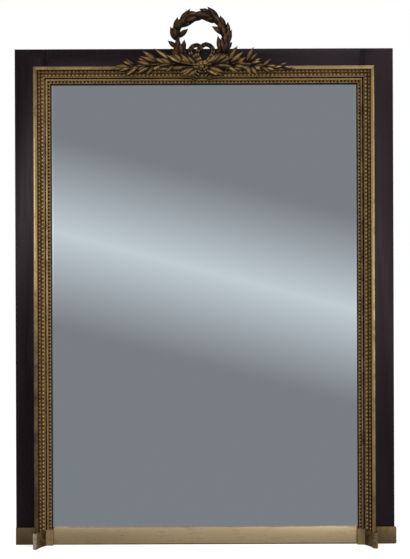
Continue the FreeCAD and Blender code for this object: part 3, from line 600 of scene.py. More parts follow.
grey = add(
    tree, "ShaderNodeMapRange", {"Value": fibre, "From Min": 0.4, "From Max": 0.75, "To Max": 0.5}
).outputs[0]
colour = add(
    tree, "ShaderNodeMix", {0: grey, 6: colour, 7: linear("#5d4a37")}, data_type="RGBA"
).outputs[2]
relief = add(tree, "ShaderNodeBump", {"Strength": 0.4, "Distance": 0.4 * MM, "Height": fibre}).outputs[0]
shader = add(
    tree, "ShaderNodeBsdfPrincipled", {"Base Color": colour, "Roughness": 0.75, "Normal": relief}
)
add(tree, "ShaderNodeOutputMaterial", {"Surface": shader.outputs[0]})
print("pine boards in rows of", round((second - lowest) / MM), "mm")

# %% [markdown]
# The hangers are forged iron, blackened by the fire, with a breath of rust, and their screws are
# old steel. A plain grey metal would look new, so dents and rust break it up.

# %% Iron and steel
DENT_MM = 6
RUST_MM = 2.5


def forged(name, dark, rust, roughness):
    """Metal from the forge: hammered, dark, with rust in patches."""
    material, tree = new_tree(name)
    place = add(tree, "ShaderNodeTexCoord").outputs["Object"]
    dents = add(
        tree, "ShaderNodeTexNoise", {"Vector": place, "Scale": per_metre(DENT_MM), "Detail": 3}
    ).outputs["Fac"]
    bloom = add(
        tree, "ShaderNodeTexNoise", {"Vector": place, "Scale": per_metre(RUST_MM), "Detail": 6}
    ).outputs["Fac"]
    rusty = add(
        tree, "ShaderNodeMapRange", {"Value": bloom, "From Min": 0.5, "From Max": 0.75}
    ).outputs[0]
    colour = add(
        tree, "ShaderNodeMix", {0: rusty, 6: linear(dark), 7: linear(rust)}, data_type="RGBA"
    ).outputs[2]
    metal = add(tree, "ShaderNodeMapRange", {"Value": rusty, "To Min": 0.85, "To Max": 0.2}).outputs[0]
    relief = add(
        tree, "ShaderNodeBump", {"Strength": 0.4, "Distance": 0.3 * MM, "Height": dents}
    ).outputs[0]
    shader = add(
        tree,
        "ShaderNodeBsdfPrincipled",
        {"Base Color": colour, "Metallic": metal, "Roughness": roughness, "Normal": relief},
    )
    add(tree, "ShaderNodeOutputMaterial", {"Surface": shader.outputs[0]})
    return material


# Black iron is dull and brown where it rusts, and the steel of the screws is lighter.
black_iron = forged("black_iron", "#3a3735", "#4a2f20", 0.5)
old_steel = forged("old_steel", "#77726b", "#5a4433", 0.4)
print("metals:", black_iron.name, old_steel.name)

# %% [markdown]
# ## From points to pieces
# A carved piece is gathered as skins over matching rings of points, each point with its wear,
# and then becomes one mesh. A plain board needs no new shape: a copy of its solid is welded and
# its outer corners are rounded, because no real corner is sharp and the round catches the light.

# %% Helpers for pieces
# Edges above the first angle stay sharp, and faces within the second are joined.
SHARP_ANGLE = math.radians(38)
FLAT_ANGLE = math.radians(1)
# Points within the first distance are welded. Within the second, a point lies at an end of the box.
WELD = 0.01 * MM
AT_END = 0.05 * MM
ROUND_STEPS = 3
# Wear of a plain face and of a rounded corner, apart from corners darker than the last, which keep the
# painted shade of the crest and plinth blocks.
EVEN_WEAR = 0.97
EDGE_WEAR = 1.05
KEEP_DARK_BELOW = 0.5


class Carving:
    """Points, faces and wear and shade of one piece."""

    def __init__(self):
        self.points = []
        self.faces = []
        self.wear_and_shade = []

    def skin(self, rings, wear_and_shade, closed=False):
        """Skin over rings of points, capped at both ends unless the last ring meets the first."""
        first = len(self.points)
        size = len(rings[0])
        for ring, marks in zip(rings, wear_and_shade):
            self.points.extend(ring)
            self.wear_and_shade.extend(marks)
        turns = len(rings) if closed else len(rings) - 1
        for k in range(turns):
            near = first + k * size
            far = first + (k + 1) % len(rings) * size
            for i in range(size):
                j = (i + 1) % size
                self.faces.append((near + i, near + j, far + j, far + i))
        if not closed:
            last = first + (len(rings) - 1) * size
            self.faces.append(tuple(range(first + size - 1, first - 1, -1)))
            self.faces.append(tuple(range(last, last + size)))

    def mesh(self, name):
        """One mesh with its normals outward and its wear and shade at its points."""
        made = bpy.data.meshes.new(name)
        made.from_pydata(self.points, [], self.faces)
        shape = bmesh.new()
        shape.from_mesh(made)
        bmesh.ops.recalc_face_normals(shape, faces=shape.faces)
        shape.to_mesh(made)
        shape.free()
        store(made, "wear_and_shade", "FLOAT", "value", self.wear_and_shade)
        smooth(made)
        return made


def store(mesh, name, kind, field, values):
    """Keep numbers at the points of a mesh."""
    mesh.attributes.new(name, kind, "POINT").data.foreach_set(field, values)


def smooth(mesh):
    """Shade a mesh smooth, apart from its sharp edges."""
    mesh.polygons.foreach_set("use_smooth", [True] * len(mesh.polygons))
    mesh.set_sharp_from_angle(angle=SHARP_ANGLE)


def show(name, mesh, material=None):
    """An object at the origin for a mesh that has its place in its points."""
    if material:
        mesh.materials.clear()
        mesh.materials.append(material)
    piece = bpy.data.objects.new(name, mesh)
    bpy.context.scene.collection.objects.link(piece)
    return piece


def fit(piece, slot, *solids, body="frame"):
    """Let a finished piece ride on its body, in place of its solids."""
    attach(piece, body)
    if solids:
        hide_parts(*solids)


def even_wear(spot):
    return EVEN_WEAR


def eased(solid, material, slot, radius_mm, wear_and_shade=even_wear):
    """Copy of a solid with its outer corners rounded."""
    mesh = nodes[solid].data.copy()
    low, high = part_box(solid)
    shape = bmesh.new()
    shape.from_mesh(mesh)
    bmesh.ops.remove_doubles(shape, verts=shape.verts, dist=WELD)
    bmesh.ops.dissolve_limit(shape, angle_limit=FLAT_ANGLE, verts=shape.verts, edges=shape.edges)

    def at_corner(vertex):
        ends = [min(abs(c - a), abs(c - b)) < AT_END for c, a, b in zip(vertex.co, low, high)]
        return sum(ends) > 1

    corners = [e for e in shape.edges if all(at_corner(v) for v in e.verts) and len(e.link_faces) == 2]
    corners = [e for e in corners if e.calc_face_angle() > SHARP_ANGLE]
    rounded = bmesh.ops.bevel(
        shape,
        geom=corners,
        offset=radius_mm * MM,
        segments=ROUND_STEPS,
        profile=0.5,
        affect="EDGES",
    )
    round_faces = set(rounded["faces"])
    worn = {v for face in round_faces for v in face.verts if round_faces.issuperset(v.link_faces)}
    marks = [wear_and_shade(v.co) for v in shape.verts]
    marks = [EDGE_WEAR if v in worn and mark > KEEP_DARK_BELOW else mark for v, mark in zip(shape.verts, marks)]
    shape.to_mesh(mesh)
    shape.free()
    store(mesh, "wear_and_shade", "FLOAT", "value", marks)
    smooth(mesh)
    fit(show(f"{solid}_eased", mesh, material), slot, solid)


print("sharp edges above", round(math.degrees(SHARP_ANGLE)), "degrees")

# %% [markdown]
# ## Boards, plinth and back
# These are the plain pieces of the joiner: black boards round the glass, the gilt plinth under
# it, the crest's block and the pine at the back. They could be modelled again, but the solids
# already have their shape, so only their corners change.

# %% Eased boards
# How far forward a plinth block's front face and the end of its back step are.
BLOCK_FRONT_SHARE, BLOCK_STEP_SHARE = 0.95, 0.3
# The grey on the left block's front is a painted cold reflection.
COLD_SHEEN_WEAR = 1.5
FRONT_WEAR = 0.45
# The crest block is near black: painted shade for the hollow behind the bow.
SHADED_BLOCK_WEAR = 0.08
RUBBED_WEAR = 1.06


def block_shade_and_sheen(spot):
    """Painted shade darkens a plinth block's hollow towards the back; the left front has a painted cold
    reflection, as grey ground, and the right front is darker.
    """
    low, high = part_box("plinth_block_left")
    forward = (high.y - spot.y) / (high.y - low.y)
    if forward > BLOCK_FRONT_SHARE:
        return COLD_SHEEN_WEAR if spot.x < 0 else FRONT_WEAR
    return 1 if forward < BLOCK_STEP_SHARE else 0.2 + 0.4 * forward**2


def shaded_block_wear(spot):
    return SHADED_BLOCK_WEAR


def rubbed_wear(spot):
    return RUBBED_WEAR


# Each board: its solid, finish and slot, the radius of its corners in millimetres, and its wear, which on
# the plinth and crest blocks is painted light and shade too.
BOARDS = (
    ("stile_left", upright_polish, "ebonised_wood", 0.9, even_wear),
    ("stile_right", upright_polish, "ebonised_wood", 0.9, even_wear),
    ("top_rail", level_polish, "ebonised_wood", 0.6, even_wear),
    ("bottom_rail", level_polish, "ebonised_wood", 1.2, even_wear),
    ("plinth_strip", plinth_gilding, "gilt_wood", 1, rubbed_wear),
    ("plinth_end_left", end_gilding, "gilt_wood", 1, even_wear),
    ("plinth_end_right", end_gilding, "gilt_wood", 1, rubbed_wear),
    ("plinth_block_left", block_gilding, "gilt_wood", 0.9, block_shade_and_sheen),
    ("plinth_block_right", block_gilding, "gilt_wood", 0.9, block_shade_and_sheen),
    # The crest block's near black is painted shade.
    ("crest_block", carved_gilding, "gilt_wood", 2, shaded_block_wear),
)
BACK_CORNER_MM = 1.2
for board in BOARDS:
    eased(*board)
back_boards = sorted(name for name in nodes if name.startswith("back_board"))
for solid in back_boards:
    eased(solid, aged_pine, "pine", BACK_CORNER_MM)
for solid, material in (
    ("tenon_pegs", upright_polish),
    ("crest_pegs", aged_pine),
    ("setting_blocks", aged_pine),
    ("glazing_blocks", aged_pine),
):
    nodes[solid].data.materials.clear()
    nodes[solid].data.materials.append(material)
print(len(BOARDS) + len(back_boards), "boards eased")

# %% [markdown]
# ## Gilt moulding
# The moulding is planed in lengths and mitred at the two top corners. Its section steps down
# from a broad outer fillet to the glass. A curve with a profile could make it, but its wear would
# be harder to change on the way. So a skin runs over sections along each length: the section's own
# points say where it is rubbed and where it is dark, with dirt and painted shade in its hollows,
# and a table says how clean the outer fillet is from one end to the other, with painted highlight
# where it is brightest.

# %% Moulding lengths
BOARD_FRONT = -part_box("stile_left")[0].y
OUTER_X = -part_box("moulding_left")[0].x
OUTER_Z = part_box("moulding_top")[1].z
BLOCK_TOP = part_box("plinth_block_left")[1].z

# Section in millimetres: how far in from the outer edge, the rise above the boards, the wear, whose low
# values in the hollows are dirt and painted shade.
SECTION = (
    (0, 0, 0.3),
    (0, 45.2, 0.6),
    (0.5, 46.9, 0.95),
    (1.6, 47.8, 1),
    (3.2, 48, 0.75),
    (9.6, 48, 0.75),
    (10.9, 47.6, 1),
    (11.5, 46.4, 0.8),
    (11.5, 36.5, 0.15),
    (12.4, 33.4, 0.12),
    (14.6, 32.2, 0.22),
    (18.1, 32, 0.3),
    (18.5, 31.4, 0.4),
    (18.5, 22, 0.15),
    (19.2, 20.6, 0.15),
    (27.5, 20.5, 0.2),
    (27.5, 21.5, 0.6),
    (28, 22, 0.75),
    (29.4, 22, 0.75),
    (30, 21.4, 0.7),
    (30, 13, 0.05),
    (31, 12, 0),
    (32.6, 12, 0),
    (33.3, 13, 0.1),
    (33.3, 16.2, 0.6),
    (34, 17, 0.8),
    (37.6, 17, 0.75),
    (38.5, 16, 0.7),
    (38.5, 9.5, 0.05),
    (39.4, 8.1, 0),
    (47.4, 8, 0),
    (48, 7.4, 0),
    (48, 0, 0),
)


def side_point(run, rise, side, z):
    return Vector((side * (OUTER_X - run * MM), -BOARD_FRONT - rise * MM, z))


def top_point(run, rise, side):
    return Vector((side * (OUTER_X - run * MM), -BOARD_FRONT - rise * MM, OUTER_Z - run * MM))


# How far in the outer fillet reaches, and how clean and lit it is from foot to mitre or left to right: its
# brightest stretches are painted highlight as well as clean leaf.
FILLET = 11.5
CLEAN_AND_LIT = {
    "left": ((0, 0.3), (0.3, 0.4), (0.45, 0.65), (0.6, 1.3), (0.82, 1.3), (0.9, 0.7), (1, 0.4)),
    "right": ((0, 0.45), (0.2, 0.8), (0.4, 1.1), (0.6, 1.35), (0.93, 1.35), (1, 0.6)),
    "top": ((0, 0.8), (0.3, 0.8), (0.7, 1), (0.8, 1.5), (1, 1.5)),
}
# The right and top lengths are dark along the outer edge: its points, and their wear.
DARK_EDGE, DARK_EDGE_WEAR = 4, 0.04
# The steps inside the fillet are dirtier on the right.
INSIDE = {"left": 1, "right": 0.5, "top": 1}


def lay_moulding(name, first, last):
    """One length of moulding between the sections at its two ends."""
    length = Carving()
    sections, wear_and_shade = [], []
    for way, share in CLEAN_AND_LIT[name]:
        sections.append([a.lerp(b, way) for a, b in zip(first, last)])
        wear_and_shade.append([amount * (share if run <= FILLET else INSIDE[name]) for run, rise, amount in SECTION])
        if name != "left":
            wear_and_shade[-1][:DARK_EDGE] = [DARK_EDGE_WEAR] * DARK_EDGE
    length.skin(sections, wear_and_shade)
    solid = f"moulding_{name}"
    fit(show(f"{solid}_gilt", length.mesh(solid), moulding_gilding), "gilt_wood", solid)


for name, side in (("left", -1), ("right", 1)):
    foot = [side_point(run, rise, side, BLOCK_TOP) for run, rise, wear_and_shade in SECTION]
    mitre = [side_point(run, rise, side, OUTER_Z - run * MM) for run, rise, wear_and_shade in SECTION]
    lay_moulding(name, foot, mitre)
mitres = [[top_point(run, rise, side) for run, rise, wear_and_shade in SECTION] for side in (-1, 1)]
lay_moulding("top", *mitres)
print("moulding section of", len(SECTION), "points on three lengths")

# %% [markdown]
# ## Rows of pearls
# Two rows of pearls run side by side round the moulding, and an inner row of beads with punched
# holes runs along the glass. A carver cuts them by eye, so they are never quite alike. Each could
# be modelled in its place, but a kind is carved once and then repeated: with its row along X, its
# crown towards -Y and its outer side up.

# %% One pearl and one punched bead
# A ball's last ring stops short of its crown by this share of a step.
CROWN_SHARE = 0.4
# Wear at a ball's foot, where painted shade darkens it, and how much more there is at its crown.
FOOT_WEAR, CROWN_GAIN = 0.2, 0.8


def half_ball(carving, middle, radius, stretch=1.0, sides=10, rings=4):
    """Half a ball on a middle point, drawn out along Z; places in millimetres."""
    skins, wear_and_shade = [], []
    for k in range(rings):
        rise = math.pi / 2 * k / (rings - 1 + CROWN_SHARE)
        turns = [2 * math.pi * i / sides for i in range(sides)]
        reach = radius * math.cos(rise)
        up = radius * math.sin(rise)
        around = [Vector((reach * math.cos(a), -up, reach * stretch * math.sin(a))) for a in turns]
        skins.append([(spot + middle) * MM for spot in around])
        wear_and_shade.append([FOOT_WEAR + CROWN_GAIN * math.sin(rise)] * sides)
    carving.skin(skins, wear_and_shade)


def pearl_unit(name, radius, stretch):
    pearl = Carving()
    half_ball(pearl, Vector((0, 0, 0)), radius, stretch)
    return show(name, pearl.mesh(name))


# A punched bead: how far the hole and the bead lie off the middle, their sizes, and the wear
# at the foot, the edge, the rim of the hole and its bottom, which is near black as painted shade.
HOLE_SHIFT_SHARE, BEAD_SHIFT_SHARE = 0.16, 0.2
HOLE_FLOOR_SHARE, HOLE_DEPTH_SHARE, BEAD_SHARE = 0.6, 0.1, 0.24
PUNCHED_WEAR = (0.3, 0.35, 0.5, 0)


def punched_unit(name, pitch, width, height, hole):
    """Square of strip with a hole towards its outer side, and a bead beside the hole."""
    outline = [(-1, -1), (0, -1), (1, -1), (1, 0), (1, 1), (0, 1), (-1, 1), (-1, 0)]
    edge = [Vector((x * pitch / 2, 0, z * width / 2)) * MM for x, z in outline]
    up = Vector((0, -height * MM, 0))
    middle = Vector((0, 0, width * HOLE_SHIFT_SHARE)) * MM
    rim, bottom = [], []
    for x, z in outline:
        way = Vector((x, 0, z)).normalized() * hole * MM
        rim.append(middle + way + up)
        bottom.append(middle + way * HOLE_FLOOR_SHARE + up * HOLE_DEPTH_SHARE)
    unit = Carving()
    rings = [edge, [spot + up for spot in edge], rim, bottom]
    unit.skin(rings, [[mark] * len(outline) for mark in PUNCHED_WEAR])
    beside = Vector((pitch / 2, -height, -width * BEAD_SHIFT_SHARE))
    half_ball(unit, beside, pitch * BEAD_SHARE, sides=8, rings=3)
    return show(name, unit.mesh(name))


PEARL_PITCH, BEAD_PITCH = 12.2, 11.2
# Rows, in millimetres: how far in, rise of the seat, strip width, rise of the units, pitch.
ROWS = {
    "small_strip": (15, 32, 5.6, 0.6, PEARL_PITCH),
    "pearl_strip": (23.2, 20.5, 8.6, 1.5, PEARL_PITCH),
    "inner_strip": (42.7, 8, 8, 0.1, BEAD_PITCH),
}
units = {
    "small_strip": pearl_unit("small_pearl", radius=3, stretch=1),
    "pearl_strip": pearl_unit("large_pearl", radius=4.4, stretch=1.05),
    "inner_strip": punched_unit("punched_bead", BEAD_PITCH, width=7.6, height=3.4, hole=3.5),
}
print({row: len(unit.data.polygons) for row, unit in units.items()}, "faces")

# %% [markdown]
# A Geometry Nodes tree strings the units between two ends. It takes the backing strip, the unit,
# the ends, the number, the turn of the row and a seed, and gives each unit a little of its own
# size. An Array modifier could repeat a unit too, but every one would be the same. The solids have
# plain strips and studs in these places.

# %% Tree for a row
def sown_tree(name, inputs, output):
    """Empty Geometry Nodes tree with named inputs and one output, and the sockets of its inputs."""
    tree = bpy.data.node_groups.new(name, "GeometryNodeTree")
    for label, kind in inputs.items():
        tree.interface.new_socket(label, in_out="INPUT", socket_type=f"NodeSocket{kind}")
    tree.interface.new_socket(output, in_out="OUTPUT", socket_type="NodeSocketGeometry")
    return tree, add(tree, "NodeGroupInput").outputs


def end_tree(tree, shape, finish, output):
    """Make the instances real, because the export drops instances, and give them their finish."""
    real = add(tree, "GeometryNodeRealizeInstances", {0: shape})
    dressed = add(tree, "GeometryNodeSetMaterial", {0: real.outputs[0], "Material": finish})
    add(tree, "NodeGroupOutput", {output: dressed.outputs[0]})


ROW_INPUTS = {
    "Backing": "Geometry",
    "Unit": "Object",
    "Start": "Vector",
    "End": "Vector",
    "Count": "Int",
    "Turn": "Vector",
    "Uneven": "Float",
    "Seed": "Int",
    "Finish": "Material",
}
ornament_row, given = sown_tree("ornament_row", ROW_INPUTS, "Row")
string = add(
    ornament_row,
    "GeometryNodeMeshLine",
    {"Count": given["Count"], "Start Location": given["Start"], "Offset": given["End"]},
    mode="END_POINTS",
)
unit = add(ornament_row, "GeometryNodeObjectInfo", {"Object": given["Unit"]})
least = add(ornament_row, "ShaderNodeMath", {0: 1, 1: given["Uneven"]}, operation="SUBTRACT").outputs[0]
most = add(ornament_row, "ShaderNodeMath", {0: 1, 1: given["Uneven"]}, operation="ADD").outputs[0]
own_size = add(
    ornament_row, "FunctionNodeRandomValue", {2: least, 3: most, "Seed": given["Seed"]}, data_type="FLOAT"
).outputs[1]
strung = add(
    ornament_row,
    "GeometryNodeInstanceOnPoints",
    {
        "Points": string.outputs[0],
        "Instance": unit.outputs["Geometry"],
        "Rotation": given["Turn"],
        "Scale": own_size,
    },
)
both = add(ornament_row, "GeometryNodeJoinGeometry", {0: strung.outputs[0]})
ornament_row.links.new(given["Backing"], both.inputs[0])
end_tree(ornament_row, both.outputs[0], given["Finish"], "Row")
print("row tree of", len(ornament_row.nodes), "nodes")

# %% [markdown]
# A tree runs in a modifier. Its inputs are set by the sockets' identifiers before it first runs,
# its result is kept as a plain mesh, and the modifier goes. A live modifier would render the same,
# but a plain mesh is what the export takes. The rows then get their strips: three kinds on three
# sides, each with its own count and seed.

# %% Run a tree and keep its mesh
def grown(name, mesh, tree, inputs):
    """Object whose plain mesh is what a Geometry Nodes tree makes of a mesh."""
    piece = show(name, mesh)
    modifier = piece.modifiers.new(tree.name, "NODES")
    modifier.node_group = tree
    for item in tree.interface.items_tree:
        if item.in_out == "INPUT" and item.name in inputs:
            modifier[item.identifier] = inputs[item.name]
    seen = piece.evaluated_get(bpy.context.evaluated_depsgraph_get())
    plain = bpy.data.meshes.new_from_object(seen)
    piece.modifiers.remove(modifier)
    piece.data = plain
    smooth(plain)
    return piece


UNEVEN = 0.04
# The strips under the units are dark: brown dirt with painted shade between the units.
STRIP_WEAR = 0.28
unit_total = 0
for row, (run, seat, width, height, pitch) in ROWS.items():
    edges = [(run + x * width / 2, seat + up) for x, up in ((-1, 0), (-1, height), (1, height), (1, 0))]
    for name, side in (("left", -1), ("right", 1), ("top", 0)):
        if side:
            ends = [
                [side_point(u, t, side, BLOCK_TOP) for u, t in edges],
                [side_point(u, t, side, OUTER_Z - u * MM) for u, t in edges],
            ]
            start = side_point(run, seat + height, side, BLOCK_TOP + pitch * MM / 2)
            end = side_point(run, seat + height, side, OUTER_Z - (run + pitch) * MM)
        else:
            ends = [[top_point(u, t, way) for u, t in edges] for way in (-1, 1)]
            start, end = (top_point(run, seat + height, way) for way in (-1, 1))
        backing = Carving()
        backing.skin(ends, [[STRIP_WEAR] * len(edges)] * 2)
        count = round((end - start).length / (pitch * MM)) + 1
        inputs = {
            "Unit": units[row],
            "Start": start,
            "End": end,
            "Count": count,
            "Turn": (0, side * math.radians(90), 0),
            "Uneven": UNEVEN,
            "Seed": count + side,
            "Finish": pearl_gilding,
        }
        solid = f"{row}_{name}"
        fit(grown(f"{solid}_carved", backing.mesh(solid), ornament_row, inputs), "gilt_wood", solid)
        unit_total += count
for unit in units.values():
    bpy.data.objects.remove(unit)
print(unit_total, "units in", 3 * len(ROWS), "strips")

# %% [markdown]
# ## Laurel leaves
# A carved laurel leaf is a lens with a raised midrib, hollow on both sides of it, and it bends
# as it grows. A leaf could be carved for each place, but three with their own bend, turned and
# sized, look like many. They are one unit long along X and one unit wide, with the upper side to
# +Z. The branches below only say where each leaf starts, where its tip is, how wide it is and
# which way it faces.

# %% Three leaves
LEAF_STATIONS = 9
LEAF_HALF_WIDTH = 0.5
LEAF_THICKNESS = 0.5
LEAF_ACROSS = (-1, -0.8, -0.5, -0.2, 0, 0.2, 0.5, 0.8, 1)
LEAF_UNDER = (0.6, 0, -0.6)
# One half of a leaf is painted lit and the other painted shaded, and its underside is painted dark.
LIT_HALF, SHADED_HALF, UNDER_WEAR = 1.25, 0.55, 0.05


def leaf_mesh(name, arch, curl, twist, clean):
    """Leaf of unit size: arch lifts its middle, curl its tip, twist turns it, clean picks the half painted
    lit.
    """
    rings, wear_and_shade = [], []
    for k in range(LEAF_STATIONS + 1):
        along = k / LEAF_STATIONS
        swell = max(math.sin(math.pi * along**0.8) ** (0.6 + 0.6 * along), 0.3 * (1 - along), 0.02)
        half = LEAF_HALF_WIDTH * swell
        lift = arch * math.sin(math.pi * along) + curl * along**2
        turn = twist * along
        ring, marks = [], []
        for v in LEAF_ACROSS:
            ridge = LEAF_THICKNESS * swell * (0.2 + 0.8 * (1 - abs(v)) ** 1.3 + 0.15 * abs(v) ** 3)
            ring.append((v * half, ridge))
            # The bright midrib is painted highlight, and the dark edges are painted shade.
            rubbed = 0.06 if abs(v) == 1 else 0.22 + 0.9 * (1 - abs(v)) ** 2.2
            marks.append(rubbed * (LIT_HALF if v * clean > 0 else SHADED_HALF))
        for v in LEAF_UNDER:
            ring.append((v * half, 0))
            marks.append(UNDER_WEAR)
        level, steep = math.cos(turn), math.sin(turn)
        rings.append(
            [Vector((along, v * level - up * steep, v * steep + up * level + lift)) for v, up in ring]
        )
        # It is darker towards the base, painted shade where leaves overlap, and towards the tip.
        wear_and_shade.append([mark * min(1, 0.15 + 1.6 * along) * (1 - 0.7 * along**4) for mark in marks])
    leaf = Carving()
    leaf.skin(rings, wear_and_shade)
    return leaf.mesh(name)


# Arch, curl, twist and painted lit half of each leaf.
LEAF_BENDS = ((0.12, -0.1, 0.25, 1), (0.08, 0.15, -0.2, -1), (0.18, -0.2, 0, 1))
leaf_models = [
    show(f"leaf_model_{k}", leaf_mesh(f"leaf_model_{k}", *bend)) for k, bend in enumerate(LEAF_BENDS)
]
print(len(leaf_models), "leaves of", len(leaf_models[0].data.polygons), "faces")

# %% [markdown]
# The tree for a branch gets one mesh: the stem, which has faces, and loose points where leaves
# start. Each loose point carries the leaf's direction, the way it faces, its size and which of the
# three leaves it is. Leaves strewn at random would be shorter to write, but many of these have
# their own place in the photograph.

# %% Tree for a branch
BRANCH_INPUTS = {
    "Branch": "Geometry",
    "Leaf 0": "Object",
    "Leaf 1": "Object",
    "Leaf 2": "Object",
    "Finish": "Material",
}
laurel_branch, given = sown_tree("laurel_branch", BRANCH_INPUTS, "Branch")
leaves = add(laurel_branch, "GeometryNodeGeometryToInstance")
for k in reversed(range(len(leaf_models))):
    model = add(laurel_branch, "GeometryNodeObjectInfo", {"Object": given[f"Leaf {k}"]})
    laurel_branch.links.new(model.outputs["Geometry"], leaves.inputs[0])
size, aim, face, which = (
    add(laurel_branch, "GeometryNodeInputNamedAttribute", {"Name": name}, data_type=kind).outputs[0]
    for name, kind in (
        ("leaf_size", "FLOAT_VECTOR"),
        ("leaf_aim", "FLOAT_VECTOR"),
        ("leaf_face", "FLOAT_VECTOR"),
        ("leaf_kind", "INT"),
    )
)
length = add(laurel_branch, "ShaderNodeVectorMath", {0: size}, operation="LENGTH").outputs["Value"]
is_leaf = add(
    laurel_branch, "FunctionNodeCompare", {0: length, 1: 0.0}, operation="GREATER_THAN"
).outputs[0]
pose = add(
    laurel_branch,
    "FunctionNodeAxesToRotation",
    {"Primary Axis": aim, "Secondary Axis": face},
    primary_axis="X",
    secondary_axis="Z",
)
placed = add(
    laurel_branch,
    "GeometryNodeInstanceOnPoints",
    {
        "Points": given["Branch"],
        "Selection": is_leaf,
        "Instance": leaves.outputs[0],
        "Pick Instance": True,
        "Instance Index": which,
        "Rotation": pose.outputs[0],
        "Scale": size,
    },
)
stem = add(
    laurel_branch, "GeometryNodeDeleteGeometry", {"Geometry": given["Branch"], "Selection": is_leaf}
)
both = add(laurel_branch, "GeometryNodeJoinGeometry", {0: placed.outputs[0]})
laurel_branch.links.new(stem.outputs[0], both.inputs[0])
end_tree(laurel_branch, both.outputs[0], given["Finish"], "Branch")
print("branch tree of", len(laurel_branch.nodes), "nodes")

# %% [markdown]
# ## Wreath and sprays
# The wreath is two branches that leave the knot, go round and meet at the top. The sprays run out
# along the top rail to both sides. Most leaves are placed one by one on the photograph, in pixels:
# many show singly there, and the rest lie in the mass behind them. The camera's distance turns a
# pixel into a length on the crest. Other leaves fill the garland and are placed in millimetres from
# the knot.

# %% Branch helpers
# The middle of the knot's back, where it is in the photograph, and how much a pixel covers there.
KNOT = (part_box("ribbon_knot")[0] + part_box("ribbon_knot")[1]) / 2
KNOT.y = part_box("ribbon_knot")[1].y
KNOT_PIXEL = (202.1, 64.75)
PIXEL_MM = (KNOT.y - CAMERA_PLACE.y) / FOCAL_PIXELS / MM
FORWARD = Vector((0, -1, 0))
STEM_SIDES = 8
STEM_TAPER = 0.5
STEM_WEAR = 0.4
# A leaf's base stands forward by a share of its tip's lift, and no tip hangs lower than this.
BASE_LIFT_SHARE = 0.35
LOWEST_TIP = -35
# A leaf is wider than it looks, because its edges lie in shade. It also runs on past its tip.
SHADED_EDGE = 1.05
LEAF_OVERLAP = 1.02
# How much wider than its row says a leaf is made, and how far it may roll to a side.
LEAF_FULLNESS = 1.3
LEAF_ROLL = 0.5
random.seed(7)


def from_knot(across, up, forward):
    """Place that is given in millimetres from the knot."""
    return KNOT + Vector((across, -forward, up)) * MM


def read_off(base_x, base_y, tip_x, tip_y, width, lift):
    """Leaf in millimetres from the knot for one that was read in pixels."""
    knot_x, knot_y = KNOT_PIXEL
    base = ((base_x - knot_x) * PIXEL_MM, (knot_y - base_y) * PIXEL_MM)
    tip = ((tip_x - knot_x) * PIXEL_MM, max((knot_y - tip_y) * PIXEL_MM, LOWEST_TIP))
    return (*base, *tip, width * PIXEL_MM * SHADED_EDGE, lift)


def tube(carving, path, radii):
    """Round stem along a path, with a radius at each of its points."""
    rings = []
    for k, (spot, radius) in enumerate(zip(path, radii)):
        along = (path[min(k + 1, len(path) - 1)] - path[max(k - 1, 0)]).normalized()
        across = along.cross(FORWARD).normalized()
        lift = across.cross(along)
        turns = [2 * math.pi * i / STEM_SIDES for i in range(STEM_SIDES)]
        rings.append([spot + (across * math.cos(a) + lift * math.sin(a)) * radius for a in turns])
    carving.skin(rings, [[STEM_WEAR] * STEM_SIDES] * len(rings))


def branch(solid, path, radius, leaves, finish):
    """Grow leaves on a stem and put the branch in its solid's place."""
    stem = Carving()
    tube(stem, path, [radius * (1 - STEM_TAPER * k / len(path)) for k in range(len(path))])
    mesh = stem.mesh(solid)
    plain = len(mesh.vertices)
    mesh.vertices.add(len(leaves))
    sizes = [0.0] * (3 * plain)
    aims = [0.0] * (3 * plain)
    faces = [0.0] * (3 * plain)
    kinds = [0] * plain
    for k, (base_x, base_z, tip_x, tip_z, width, lift) in enumerate(leaves):
        base = from_knot(base_x, base_z, lift * BASE_LIFT_SHARE)
        run = from_knot(tip_x, tip_z, lift) - base
        across = run.cross(FORWARD).normalized()
        mesh.vertices[plain + k].co = base
        sizes.extend((run.length * LEAF_OVERLAP, width * LEAF_FULLNESS * MM, width * MM))
        aims.extend(run.normalized())
        faces.extend((FORWARD + across * random.uniform(-LEAF_ROLL, LEAF_ROLL)).normalized())
        kinds.append(random.randrange(len(leaf_models)))
    store(mesh, "leaf_size", "FLOAT_VECTOR", "vector", sizes)
    store(mesh, "leaf_aim", "FLOAT_VECTOR", "vector", aims)
    store(mesh, "leaf_face", "FLOAT_VECTOR", "vector", faces)
    store(mesh, "leaf_kind", "INT", "value", kinds)
    inputs = {f"Leaf {k}": model for k, model in enumerate(leaf_models)}
    inputs["Finish"] = finish
    fit(grown(f"{solid}_carved", mesh, laurel_branch, inputs), "gilt_wood", solid)
    print(solid, len(leaves), "leaves")


print("knot at", [round(c, 4) for c in KNOT], "and a pixel there is", round(PIXEL_MM, 3), "mm")

# %% [markdown]
# The wreath's stems are two arcs of one ring. A leaf that was read off has six numbers: its base
# and its tip, across and down in pixels, its width in pixels, and how far forward the tip stands
# in millimetres. A filling leaf has the same six in millimetres from the knot, with up for down.

